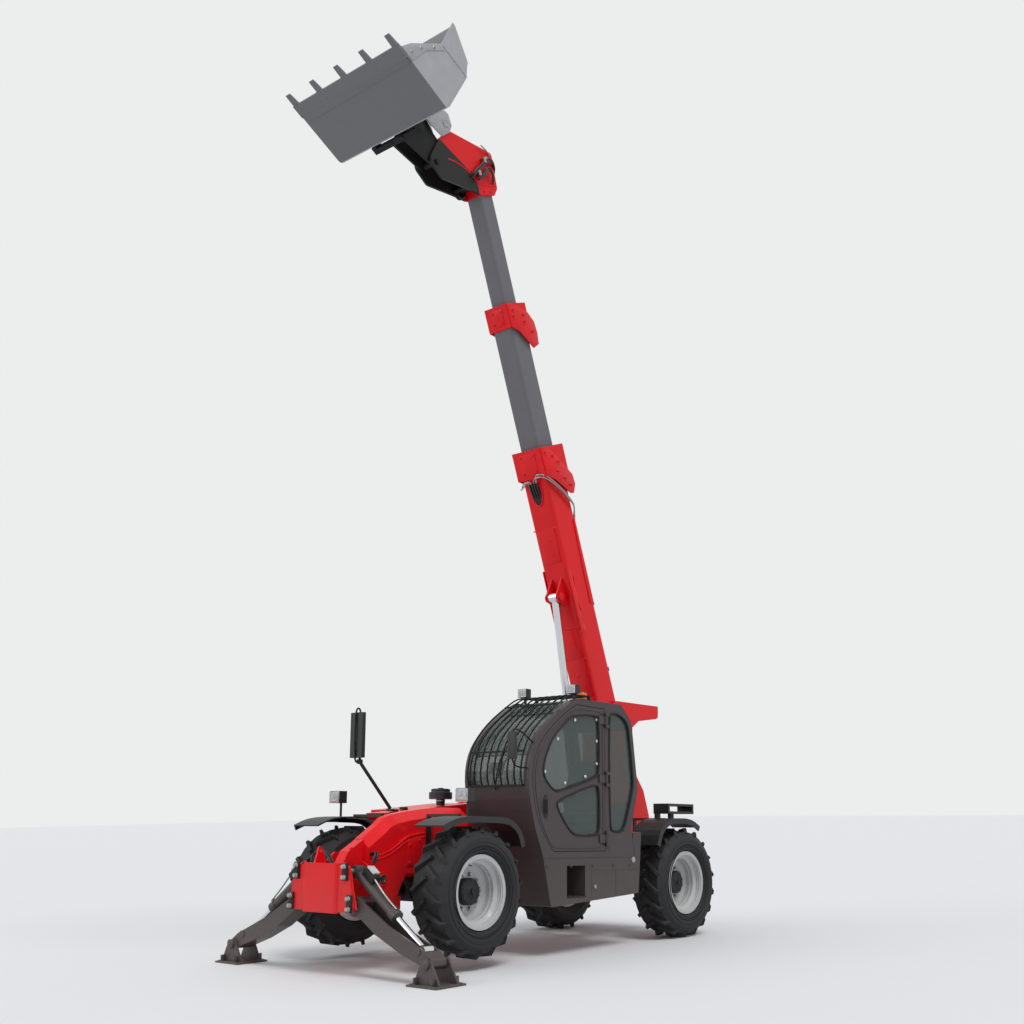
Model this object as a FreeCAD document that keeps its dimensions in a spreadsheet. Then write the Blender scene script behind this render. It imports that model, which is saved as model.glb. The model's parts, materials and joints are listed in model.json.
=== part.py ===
import FreeCAD, Part
import Sketcher
import math
import os

# Telehandler, standing on its two front stabilisers with the boom raised and partly extended.
# Millimetres. Chassis axes: +X forward, +Y to the cab side, +Z up, origin midway between the
# axles at the height of the tyres' lowest point. Every sub-part is built on the level chassis,
# and its Placement then tips it by the small angle at which the stabilisers hold the front up.

Vector = FreeCAD.Vector
Rotation = FreeCAD.Rotation
Placement = FreeCAD.Placement

SIZES = {
    # Running gear
    "wheelbase": 3300,
    "front_lift": 100,
    "track": 1670,
    "tyre_radius": 580,
    "tyre_width": 405,
    "lug_depth": 30,
    "rim_radius": 333,
    "rim_inset": 36,
    "rim_wall": 10,
    "disc_inset": 200,
    "hub_radius": 122,
    "hub_face_inset": 150,
    "hub_bore": 55,
    "kingpin_y": 600,
    "kingpin_radius": 28,
    "axle_tube": 82,
    "axle_boss": 72,
    "running_gap": 0.06,
    "seat_gap": 0.3,
    # Main frame
    "frame_half": 310,
    "frame_plate": 25,
    "rail_top": 860,
    "rail_bottom": 450,
    "arch_top": 700,
    "nose_reach": 1020,
    "nose_top": 816,
    "nose_bottom": 416,
    "nose_plate": 28,
    "nose_box_half": 238,
    "nose_proud": 24,
    "nose_half_top": 365,
    "nose_half_bottom": 445,
    "nose_depth": 265,
    "shoulder_inner": 118,
    "flank_slope": 110,
    "tower_top": 2620,
    "horn_length": 702,
    # Boom
    "boom_y": -100,
    "pivot_overhang": 98,
    "pivot_z": 1870,
    "pivot_radius": 45,
    "boom_angle": 69.5,
    "outer_width": 344,
    "outer_depth": 380,
    "outer_wall": 12,
    "outer_tail": 700,
    "outer_end": 3820,
    "mid_width": 270,
    "mid_depth": 300,
    "mid_wall": 10,
    "mid_end": 5480,
    "inner_width": 210,
    "inner_depth": 232,
    "inner_wall": 10,
    "inner_end": 7200,
    "mid_length": 4300,
    "inner_length": 4300,
    "collar_rise": 32,
    "collar_length": 330,
    # Lift cylinder
    "lift_foot_ahead": 468,
    "lift_foot_z": 750,
    "lift_eye_x": -735,
    "lift_eye_z": 3750,
    "lift_barrel": 82,
    "lift_rod": 42,
    "lift_pin": 32,
    # Telescope cylinder on the back of the boom
    "tele_rod": 26,
    "tele_barrel": 48,
    "tele_rise": 70,
    # Head, hitch and bucket
    "head_plate": 24,
    "hitch_x": 1420,
    "hitch_z": 8220,
    "hitch_pin": 32,
    "bucket_half": 808,
    "bucket_floor": 774,
    "bucket_angle": 28.6,
    "bucket_heel_x": 1980,
    "bucket_heel_z": 8300,
    "bucket_plate": 14,
    "tilt_crank": 240,
    "tilt_crank_angle": 20.7,
    "tilt_foot_x": 7120,
    "tilt_foot_z": 102,
    "tilt_barrel": 50,
    "tilt_rod": 27,
    "tooth_count": 5,
    # Stabilisers
    "leg_pivot_y": 398,
    "leg_pivot_z": 490,
    "leg_pin": 30,
    "leg_width": 180,
    "leg_slot_half": 66,
    "pad_y": 1315,
    "pad_pin_height": 180,
    "pad_length": 350,
    "pad_width": 350,
    "pad_plate": 16,
    "leg_ram_y": 330,
    "leg_ram_z": 760,
    "leg_ram_barrel": 52,
    "leg_ram_rod": 28,
    # Cab
    "cab_outer": 980,
    "cab_inner": 140,
    "cab_floor": 880,
    "cab_roof": 2436,
    "cab_wall": 40,
    "cab_glass": 6,
    "skirt_bottom": 405,
    "skirt_rise": 90,
    "door_gap": 6,
    # Engine side
    "cowl_inner": -345,
    "cowl_outer": -1000,
    "cowl_top": 1400,
    "cowl_bottom": 560,
    "cowl_wall": 5,
    "hood_split": -620,
    # Fenders and lamps
    "fender_radius": 655,
    "fender_plate": 14,
    "fender_lip": 42,
    "fender_inner": 665,
    "fender_outer": 1030,
}

doc = FreeCAD.newDocument("Telehandler")
sheet = doc.addObject("Spreadsheet::Sheet", "Dims")
for row, (alias, value) in enumerate(SIZES.items(), start=1):
    sheet.set(f"A{row}", alias)
    sheet.set(f"B{row}", str(value))
    sheet.setAlias(f"B{row}", alias)
doc.recompute()


class Size:
    """A length or angle: its number, and the sheet expression that gives it."""

    def __init__(self, value, text):
        self.value = value
        self.text = text

    def __add__(self, other):
        other = size(other)
        return Size(self.value + other.value, f"({self.text} + {other.text})")

    __radd__ = __add__

    def __sub__(self, other):
        other = size(other)
        return Size(self.value - other.value, f"({self.text} - {other.text})")

    def __rsub__(self, other):
        return size(other) - self

    def __mul__(self, other):
        other = size(other)
        return Size(self.value * other.value, f"({self.text} * {other.text})")

    __rmul__ = __mul__

    def __truediv__(self, other):
        other = size(other)
        return Size(self.value / other.value, f"({self.text} / {other.text})")

    def __neg__(self):
        return Size(-self.value, f"(-1 * {self.text})")

    def __float__(self):
        return float(self.value)


def size(value):
    """Any number as a Size."""
    if isinstance(value, Size):
        return value
    return Size(float(value), f"({float(value):.6f})")


def dim(alias):
    """A driving size, read from the sheet."""
    return Size(float(sheet.get(alias)), f"Dims.{alias}")


def bind(obj, prop, value):
    """Ties a property to the sheet."""
    value = size(value)
    obj.setExpression(prop, value.text)


def vec(x, y, z):
    return Vector(float(x), float(y), float(z))


# Shape tools

PLANES = {"XZ": ("XZ_Plane", -1), "YZ": ("YZ_Plane", 1), "XY": ("XY_Plane", 1)}


def smooth(points, steps):
    """A curve through the given points, as a chain of short straight runs."""
    line = [(float(u), float(v)) for u, v in points]
    ends = [line[0]] + line + [line[-1]]
    curve = []
    for a, b, c, d in zip(ends, ends[1:], ends[2:], ends[3:]):
        for step in range(steps):
            t = step / steps
            flat = []
            for i in (0, 1):
                bend = 2 * a[i] - 5 * b[i] + 4 * c[i] - d[i]
                twist = 3 * b[i] - a[i] - 3 * c[i] + d[i]
                flat.append(b[i] + 0.5 * t * (c[i] - a[i] + t * (bend + t * twist)))
            curve.append(tuple(flat))
    return curve + [line[-1]]


def drawn_in(outline, gap):
    """The outline with each edge moved inwards by a gap."""
    points = [(float(u), float(v)) for u, v in outline]
    count = len(points)
    area = sum(points[i - 1][0] * points[i][1] - points[i][0] * points[i - 1][1] for i in range(count))
    turn = 1 if area > 0 else -1
    moved = []
    for i, here in enumerate(points):
        across = []
        for a, b in ((points[i - 1], here), (here, points[(i + 1) % count])):
            span = math.dist(a, b)
            across.append((turn * (a[1] - b[1]) / span, turn * (b[0] - a[0]) / span))
        nu = across[0][0] + across[1][0]
        nv = across[0][1] + across[1][1]
        share = 2 / (nu * nu + nv * nv)
        moved.append((size(outline[i][0]) + size(gap) * (nu * share), size(outline[i][1]) + size(gap) * (nv * share)))
    return moved


def outline_sketch(body, name, plane, outline, offset):
    """A closed chain of lines on one of the body's own planes, offset along the plane's normal."""
    sketch = body.newObject("Sketcher::SketchObject", name)
    support = [f for f in body.Origin.OriginFeatures if f.Role == PLANES[plane][0]][0]
    sketch.AttachmentSupport = (support, [""])
    sketch.MapMode = "FlatFace"
    bind(sketch, "AttachmentOffset.Base.z", offset)
    points = [(size(u), size(v)) for u, v in outline]
    count = len(points)
    for i, (u, v) in enumerate(points):
        following = points[(i + 1) % count]
        start = Vector(u.value, v.value, 0)
        sketch.addGeometry(Part.LineSegment(start, Vector(following[0].value, following[1].value, 0)), False)
    for i in range(count):
        sketch.addConstraint(Sketcher.Constraint("Coincident", i, 2, (i + 1) % count, 1))
    for i, (u, v) in enumerate(points):
        for kind, value in (("DistanceX", u), ("DistanceY", v)):
            number = sketch.addConstraint(Sketcher.Constraint(kind, -1, 1, i, 1, value.value))
            bind(sketch, f"Constraints[{number}]", value)
    return sketch


def prism(name, plane, outline, low, high, rounds=()):
    """A plate or bar: an outline in a plane, padded from low to high across it.

    rounds holds (radius, [corner numbers]) pairs for the edges at those corners."""
    low, high = size(low), size(high)
    body = doc.addObject("PartDesign::Body", name)
    sense = PLANES[plane][1]
    sketch = outline_sketch(body, name + "_outline", plane, outline, low if sense > 0 else -high)
    points = [(size(u), size(v)) for u, v in outline]
    pad = body.newObject("PartDesign::Pad", name + "_pad")
    pad.Profile = sketch
    bind(pad, "Length", high - low)
    tip = pad
    for radius, corners in rounds:
        doc.recompute()
        names = corner_edges(tip.Shape, plane, [points[c] for c in corners])
        tip_before = tip
        tip = body.newObject("PartDesign::Fillet", f"{name}_round_{corners[0]}")
        tip.Base = (tip_before, names)
        bind(tip, "Radius", radius)
    body.Tip = tip
    return body


def loft(name, outlines, stations):
    """A body ruled from one outline in the XZ plane to the next, at stations along Y."""
    body = doc.addObject("PartDesign::Body", name)
    sections = []
    for number, (outline, y) in enumerate(zip(outlines, stations)):
        sections.append(outline_sketch(body, f"{name}_outline_{number}", "XZ", outline, -size(y)))
    skin = body.newObject("PartDesign::AdditiveLoft", name + "_skin")
    skin.Profile = sections[0]
    skin.Sections = sections[1:]
    skin.Ruled = True
    body.Tip = skin
    return body


def corner_edges(shape, plane, corners):
    """Names of the edges that run across the plane at the given corners."""
    picked = []
    for number, edge in enumerate(shape.Edges, start=1):
        ends = [vertex.Point for vertex in edge.Vertexes]
        if len(ends) != 2:
            continue
        flat = [(p.x, p.z) if plane == "XZ" else (p.y, p.z) if plane == "YZ" else (p.x, p.y) for p in ends]
        if math.dist(flat[0], flat[1]) > 0.01:
            continue
        if any(math.dist(flat[0], (u.value, v.value)) < 0.01 for u, v in corners):
            picked.append(f"Edge{number}")
    return picked


def turned(name, outline, centre=(0, 0, 0)):
    """A ring about an axis along Y through centre: outline points are (radius, y)."""
    body = doc.addObject("PartDesign::Body", name)
    sketch = outline_sketch(body, name + "_outline", "XY", outline, 0)
    ring = body.newObject("PartDesign::Revolution", name + "_turn")
    ring.Profile = sketch
    ring.ReferenceAxis = (sketch, ["V_Axis"])
    ring.Angle = 360
    body.Tip = ring
    body.Placement = Placement(vec(*centre), Rotation())
    return body


def block(name, low, high):
    """A square-cornered bar between two corners."""
    obj = doc.addObject("Part::Box", name)
    for prop, axis, a, b in zip(("Length", "Width", "Height"), "xyz", low, high):
        bind(obj, prop, size(b) - a)
        bind(obj, f"Placement.Base.{axis}", a)
    return obj


TURN = {"x": Rotation(Vector(0, 1, 0), 90), "y": Rotation(Vector(1, 0, 0), -90), "z": Rotation()}


def bar(name, axis, centre, low, high, radius):
    """A round bar along an axis from low to high; centre gives its other two coordinates."""
    obj = doc.addObject("Part::Cylinder", name)
    bind(obj, "Radius", radius)
    bind(obj, "Height", size(high) - low)
    a, b = centre
    base = {"x": (low, a, b), "y": (a, low, b), "z": (a, b, low)}[axis]
    obj.Placement = Placement(vec(*base), TURN[axis])
    return obj


def strut(name, start, end, radius):
    """A round bar from one point to another."""
    obj = doc.addObject("Part::Cylinder", name)
    run = vec(*end) - vec(*start)
    bind(obj, "Radius", radius)
    obj.Height = run.Length
    obj.Placement = Placement(vec(*start), Rotation(Vector(0, 0, 1), run))
    return obj


def fuse(name, parts):
    obj = doc.addObject("Part::MultiFuse", name)
    obj.Shapes = parts
    obj.Refine = True
    return obj


def cut(name, base, tools):
    tool = tools[0]
    if len(tools) > 1:
        tool = doc.addObject("Part::Compound", name + "_tools")
        tool.Links = tools
    obj = doc.addObject("Part::Cut", name)
    obj.Base = base
    obj.Tool = tool
    obj.Refine = True
    return obj


def common(name, parts):
    obj = doc.addObject("Part::MultiCommon", name)
    obj.Shapes = parts
    return obj


def group(name, parts):
    """Pieces of one node that do not touch."""
    obj = doc.addObject("Part::Compound", name)
    obj.Links = parts
    return obj


# Frames that carry the sub-parts

lift_slope = math.asin(float(dim("front_lift")) / float(dim("wheelbase")))
rear_hub = vec(-dim("wheelbase") / 2, 0, dim("tyre_radius"))
tip_up = Rotation(Vector(0, -1, 0), math.degrees(lift_slope))
STANCE = Placement(rear_hub, tip_up).multiply(Placement(-rear_hub, Rotation()))
FRONT_AXLE = dim("wheelbase") / 2
NOSE_FRONT = FRONT_AXLE + dim("nose_reach")
NOSE_REAR = NOSE_FRONT - dim("nose_depth")
PIVOT_X = -FRONT_AXLE - dim("pivot_overhang")
LIFT_FOOT_X = PIVOT_X + dim("lift_foot_ahead")
PIVOT = vec(PIVOT_X, dim("boom_y"), dim("pivot_z"))
BOOM = Placement(PIVOT, Rotation(Vector(0, -1, 0), float(dim("boom_angle"))))
NODES = []


def strip(route, thickness):
    """The outline of a bent strip: the route and its parallel, thickness to the left of it."""
    points = [(float(u), float(v)) for u, v in route]
    parallel = []
    for i, (u, v) in enumerate(points):
        before = points[max(i - 1, 0)]
        after = points[min(i + 1, len(points) - 1)]
        turns = []
        for a, b in ((before, (u, v)), ((u, v), after)):
            span = math.dist(a, b)
            if span > 0:
                turns.append((-(b[1] - a[1]) / span, (b[0] - a[0]) / span))
        nu = sum(t[0] for t in turns) / len(turns)
        nv = sum(t[1] for t in turns) / len(turns)
        square = nu * nu + nv * nv
        parallel.append((size(u) + size(thickness) * (nu / square), size(v) + size(thickness) * (nv / square)))
    return list(route) + list(reversed(parallel))


def height_on(route, at):
    """Second coordinate of a chain of points where its first one is the given number."""
    for (a, b), (c, d) in zip(route, route[1:]):
        if min(a, c) <= at <= max(a, c):
            return b + (d - b) * (at - a) / (c - a)
    raise ValueError(at)


def node(label, obj, frame=STANCE):
    """Names a finished sub-part and says which frame carries it."""
    obj.Label = label
    NODES.append((label, obj, frame.multiply(obj.Placement)))
    return obj


def in_boom(x, z):
    """A chassis point in the plane of the boom, seen in the boom's own axes."""
    point = BOOM.inverse().multVec(vec(x, dim("boom_y"), z))
    return point.x, point.z


def on_stance(point):
    """A point of the level chassis where it really stands."""
    return STANCE.multVec(point)


# Tyre, rim and hub, made once about the wheel's own centre and placed four times

LUGS = 18
FACETS = 36


def tyre_master():
    """Carcass as a ruled loft through polygons, with two staggered rows of bar lugs."""
    half = dim("tyre_width") / 2
    crown = dim("tyre_radius") - dim("lug_depth")
    # place across the tyre (share of its half width), radius
    stations = (
        (-0.74, dim("rim_radius")),
        (-1.00, dim("rim_radius") + 85),
        (-0.97, crown - 70),
        (-0.78, crown - 8),
        (0.78, crown - 8),
        (0.97, crown - 70),
        (1.00, dim("rim_radius") + 85),
        (0.74, dim("rim_radius")),
    )
    rings = []
    for number, (share, radius) in enumerate(stations):
        ring = doc.addObject("Part::RegularPolygon", f"tyre_ring_{number}")
        ring.Polygon = FACETS
        bind(ring, "Circumradius", radius)
        ring.Placement = Placement(vec(0, half * share, 0), TURN["y"])
        rings.append(ring)
    carcass = doc.addObject("Part::Loft", "tyre_carcass")
    carcass.Sections = rings
    carcass.Solid = True
    carcass.Ruled = True
    bore = doc.addObject("Part::Prism", "tyre_bore")
    bore.Polygon = FACETS
    bind(bore, "Circumradius", dim("rim_radius") - 24.5)
    bind(bore, "Height", dim("tyre_width") * 2)
    bore.Placement = Placement(vec(0, -dim("tyre_width"), 0), TURN["y"])
    lugs = []
    for row in (-1, 1):
        for number in range(LUGS):
            lug = doc.addObject("Part::Wedge", f"lug_{row + 1}_{number}")
            # the lug lies along X, its foot on z = 0, narrowing towards its top
            bind(lug, "Xmin", 0)
            bind(lug, "Xmax", half * 1.16)
            bind(lug, "X2min", 10)
            bind(lug, "X2max", half * 1.16 - 40)
            bind(lug, "Zmin", -22)
            bind(lug, "Zmax", 22)
            bind(lug, "Z2min", -15)
            bind(lug, "Z2max", 15)
            bind(lug, "Ymin", 0)
            bind(lug, "Ymax", dim("lug_depth") + 30)
            step = 360.0 / LUGS
            turn = Rotation(Vector(0, 1, 0), step * (number + (0.5 if row > 0 else 0)))
            flat = Rotation(Vector(1, 0, 0), 90)
            base = turn.multVec(vec(-45, -row * half * 0.04, crown - 30))
            aim = Rotation(Vector(0, 0, 1), 90 if row > 0 else -90)
            spin = turn.multiply(Rotation(Vector(0, 0, 1), -row * 38)).multiply(aim).multiply(flat)
            lug.Placement = Placement(base, spin)
            lugs.append(lug)
    tread = fuse("tyre_tread", [carcass] + lugs)
    return cut("tyre_whole", tread, [bore])


def rim_master():
    """Deep-dish drop-centre rim with its disc, outer flange towards +Y."""
    half = dim("tyre_width") / 2 - dim("rim_inset")
    flange = dim("rim_radius")
    wall = dim("rim_wall")
    seat = flange - 26
    well = seat - 34
    disc = half - dim("disc_inset")
    outline = (
        (flange, half),
        (flange, half - 10),
        (seat, half - 14),
        (seat, half - 52),
        (well, half - 84),
        (well, -half + 84),
        (seat, -half + 52),
        (seat, -half + 14),
        (flange, -half + 10),
        (flange, -half),
        (seat - wall, -half),
        (seat - wall, -half + 52),
        (well - wall, -half + 84),
        (well - wall, disc - 16),
        (dim("hub_radius") - 14, disc - 16),
        (dim("hub_radius") - 14, disc),
        (well - wall - 60, disc),
        (well - wall - 24, disc + 22),
        (well - wall, disc + 26),
        (well - wall, half - 84),
        (seat - wall, half - 52),
        (seat - wall, half),
    )
    return turned("rim_whole", outline)


def hub_master():
    """Planetary hub: a flange behind the disc, a drum through it and a stepped cover."""
    half = dim("tyre_width") / 2
    face = half - dim("hub_face_inset")
    disc = half - dim("rim_inset") - dim("disc_inset")
    radius = dim("hub_radius")
    drum = radius - 14
    inner = -(dim("track") / 2 - dim("kingpin_y")) + 120
    outline = (
        (dim("hub_bore") + dim("running_gap"), inner),
        (radius + 8, inner),
        (radius + 8, disc - 16),
        (drum, disc - 16),
        (drum, disc),
        (radius, disc),
        (radius, face - 22),
        (radius - 12, face - 8),
        (radius - 60, face),
        (radius - 74, face + 14),
        (0, face + 14),
        (0, inner + 150),
        (dim("hub_bore") + dim("running_gap"), inner + 150),
    )
    return turned("hub_whole", outline)


def copy_of(name, source, placement):
    """One more of a piece that is made once."""
    obj = doc.addObject("Part::Feature", name)
    obj.Shape = source.Shape
    obj.Placement = placement.multiply(source.Placement)
    return obj


def wheels():
    tyre, rim, hub = tyre_master(), rim_master(), hub_master()
    doc.recompute()
    for corner, along, side in CORNERS:
        centre = vec(along * dim("wheelbase") / 2, side * dim("track") / 2, dim("tyre_radius"))
        turn = Rotation() if side > 0 else Rotation(Vector(0, 0, 1), 180)
        for kind, source in (("tyre", tyre), ("rim", rim), ("hub", hub)):
            node(f"{kind}_{corner}", copy_of(f"{kind}_at_{corner}", source, Placement(centre, turn)))


CORNERS = (("front_left", 1, 1), ("front_right", 1, -1), ("rear_left", -1, 1), ("rear_right", -1, -1))


def axles():
    """Axle beams with a differential bulge, end bosses and the kingpins that carry the knuckles."""
    reach = dim("kingpin_y")
    height = dim("tyre_radius")
    boss = dim("axle_boss")
    pin_up = boss + 44
    for name, along in (("front", 1), ("rear", -1)):
        x = along * dim("wheelbase") / 2
        parts = [
            bar(f"{name}_tube", "y", (x, height), -reach, reach, dim("axle_tube") - 24),
            bar(f"{name}_case", "y", (x, height), -150, 190, dim("axle_tube") + 36),
            bar(f"{name}_neck_a", "y", (x, height), -300, 340, dim("axle_tube") + 22),
            block(f"{name}_saddle", (x - 120, -dim("frame_half"), height + 40), (x + 120, dim("frame_half"), dim("arch_top"))),
        ]
        for side in (-1, 1):
            parts.append(bar(f"{name}_boss_{side + 1}", "z", (x, side * reach), height - boss, height + boss, boss))
            parts.append(
                bar(f"{name}_pin_{side + 1}", "z", (x, side * reach), height - pin_up, height + pin_up, dim("kingpin_radius"))
            )
        node(f"{name}_axle", fuse(f"{name}_axle_whole", parts))


def knuckle_master():
    """Steering knuckle about the kingpin: two arms round the boss, a back and the spindle."""
    boss = dim("axle_boss")
    gap = dim("seat_gap")
    back = boss + 8
    inner = size(120) - gap
    parts = [
        block("knuckle_back", (-70, back, -boss - 40), (70, inner, boss + 40)),
        bar("knuckle_spindle", "y", (0, 0), inner - 2, inner + 140, dim("hub_bore")),
        bar("knuckle_flange", "y", (0, 0), back, inner, 105),
    ]
    for side in (-1, 1):
        low = boss + gap if side > 0 else -boss - 40
        high = boss + 40 if side > 0 else -boss - gap
        parts.append(block(f"knuckle_arm_{side + 1}", (-52, 0, low), (52, back + 2, high)))
        parts.append(bar(f"knuckle_eye_{side + 1}", "z", (0, 0), low, high, 56))
    parts.append(block("knuckle_lever", (-205, back - 22, -40), (-60, back + 8, -5)))
    hole = bar("knuckle_bore", "z", (0, 0), -boss - 60, boss + 60, dim("kingpin_radius") + dim("running_gap"))
    return cut("knuckle_whole", fuse("knuckle_solid", parts), [hole])


def knuckles():
    master = knuckle_master()
    doc.recompute()
    for corner, along, side in CORNERS:
        centre = vec(along * dim("wheelbase") / 2, side * dim("kingpin_y"), dim("tyre_radius"))
        turn = Rotation() if side > 0 else Rotation(Vector(0, 0, 1), 180)
        node(f"knuckle_{corner}", copy_of(f"knuckle_at_{corner}", master, Placement(centre, turn)))


# Main frame

def frame():
    """Two deep side plates, the nose box, the left shoulder box, the rear tower and its horns."""
    half, plate = dim("frame_half"), dim("frame_plate")
    top, low, arch = dim("rail_top"), dim("rail_bottom"), dim("arch_top")
    axle = dim("wheelbase") / 2
    nose = NOSE_FRONT
    foot = dim("nose_bottom")
    neck = NOSE_REAR - 15
    rail = (
        (neck, foot),
        (axle + 420, foot),
        (axle + 300, arch),
        (axle - 300, arch),
        (axle - 420, low),
        (-axle + 420, low),
        (-axle + 300, arch),
        (-axle - 300, arch),
        (-axle - 400, low + 120),
        (-axle - 600, low + 120),
        (-axle - 600, top + 60),
        (-axle - 300, top),
        (axle - 600, top),
        (axle - 300, top + 60),
        (nose - 400, top + 60),
        (neck, dim("nose_top")),
    )
    parts = [
        prism("rail_left", "XZ", rail, half - plate, half),
        prism("rail_right", "XZ", rail, -half, -half + plate),
    ]
    shoulder = (
        (neck, foot),
        (neck, 1043),
        (nose - 300, 1056),
        (nose - 470, 1165),
        (nose - 640, 1262),
        (nose - 1200, 1335),
        (nose - 1560, 1335),
        (nose - 1620, top),
        (nose - 1620, arch),
        (axle + 300, arch),
        (axle + 420, foot),
    )
    # the upper part of its outer face slopes down to the flank
    ridge = list(shoulder[:1]) + smooth(shoulder[1:7], 3) + list(shoulder[7:])
    slope = dim("flank_slope")
    eaves = [(u, size(v) - (slope * 0.72 if float(v) > 1000 else 0)) for u, v in ridge]
    shell = fuse(
        "shoulder",
        [
            prism("shoulder_ridge", "XZ", ridge, dim("shoulder_inner"), half - slope),
            loft("shoulder_slope", (ridge, eaves), (half - slope, half)),
        ],
    )
    hollow = (
        (neck - 20, foot + 100),
        (neck - 20, 880),
        (nose - 660, 1060),
        (nose - 1200, 1150),
        (nose - 1500, 1150),
        (nose - 1540, arch + 40),
        (axle + 260, arch + 40),
        (axle + 400, foot + 100),
    )
    shell = cut("shoulder_box", shell, [prism("shoulder_hollow", "XZ", hollow, dim("shoulder_inner") - 5, half - plate)])
    parts.append(shell)
    flank = [(neck - 20, foot + 60), (neck - 20, 862)]
    flank += smooth(((neck - 190, 905), (neck - 330, 985), (neck - 450, 1070), (axle + 60, 1108)), 3)
    flank += [(axle + 60, arch + 30), (axle + 300, arch + 30), (axle + 440, foot + 60)]
    parts.append(prism("flank_plate", "XZ", flank, half - 1, half + 26))
    parts.append(bar("flank_boss", "y", (axle + 600, 690), half, half + 44, 62))
    core = dim("leg_ram_y") - dim("leg_ram_barrel") - 45
    thick = dim("nose_plate")
    snout = ((neck - 10, foot + 10), (neck - 10, 1043), (nose - 110, 935), (nose - 40, dim("nose_top")), (nose - 10, foot + 10))
    parts.append(prism("snout", "XZ", snout, dim("shoulder_inner"), core, rounds=((30, [2]),)))
    room = dim("nose_box_half")
    box = ((nose - thick, -room), (nose + dim("nose_proud"), -room), (nose + dim("nose_proud"), room), (nose - thick, room))
    parts.append(prism("nose_box", "XY", box, foot - 14, dim("nose_top") + 14, rounds=((44, [1, 2]),)))
    # cross members between the rails: x low, x high, z low, z high
    crossings = (
        (axle + 330, axle + 560, foot, foot + 110),
        (axle - 760, axle - 560, low, low + 60),
        (-160, 160, low, low + 60),
        (-axle + 560, -axle + 760, low, low + 60),
    )
    for number, (a, b, c, d) in enumerate(crossings):
        parts.append(block(f"crossing_{number}", (a, -half + 5, c), (b, half - 5, d)))
    # nose: the front and rear plates carry the stabiliser pins, the core joins them
    face = (
        (-dim("nose_half_bottom"), foot),
        (dim("nose_half_bottom"), foot),
        (dim("nose_half_top"), dim("nose_top")),
        (-dim("nose_half_top"), dim("nose_top")),
    )
    parts.append(prism("nose_face", "YZ", face, nose - thick, nose, rounds=((42, [0, 1, 2, 3]),)))
    parts.append(prism("nose_back", "YZ", face, NOSE_REAR - thick, NOSE_REAR, rounds=((42, [0, 1, 2, 3]),)))
    parts.append(block("nose_core", (NOSE_REAR - 60, -core, foot + 10), (nose - 10, core, dim("nose_top"))))
    for side in (-1, 1):
        ear = prism(
            f"lifting_ear_{side + 1}",
            "XZ",
            ((nose - 230, dim("nose_top") - 10), (nose - 90, dim("nose_top") - 10), (nose - 140, 970), (nose - 180, 970)),
            side * 215 - 11,
            side * 215 + 11,
            rounds=((19, [2, 3]),),
        )
        hole = bar(f"lifting_hole_{side + 1}", "y", (nose - 160, 935), side * 215 - 30, side * 215 + 30, 15)
        parts.append(cut(f"lifting_lug_{side + 1}", ear, [hole]))
    solid = fuse("frame_solid", parts)
    holes = []
    for side in (-1, 1):
        for name, y, z in (("leg", dim("leg_pivot_y"), dim("leg_pivot_z")), ("ram", dim("leg_ram_y"), dim("leg_ram_z"))):
            radius = dim("leg_pin") + dim("running_gap")
            holes.append(bar(f"{name}_hole_{side + 1}", "x", (side * y, z), NOSE_REAR - 60, nose + 40, radius))
    node("frame", cut("frame_whole", solid, holes))


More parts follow.
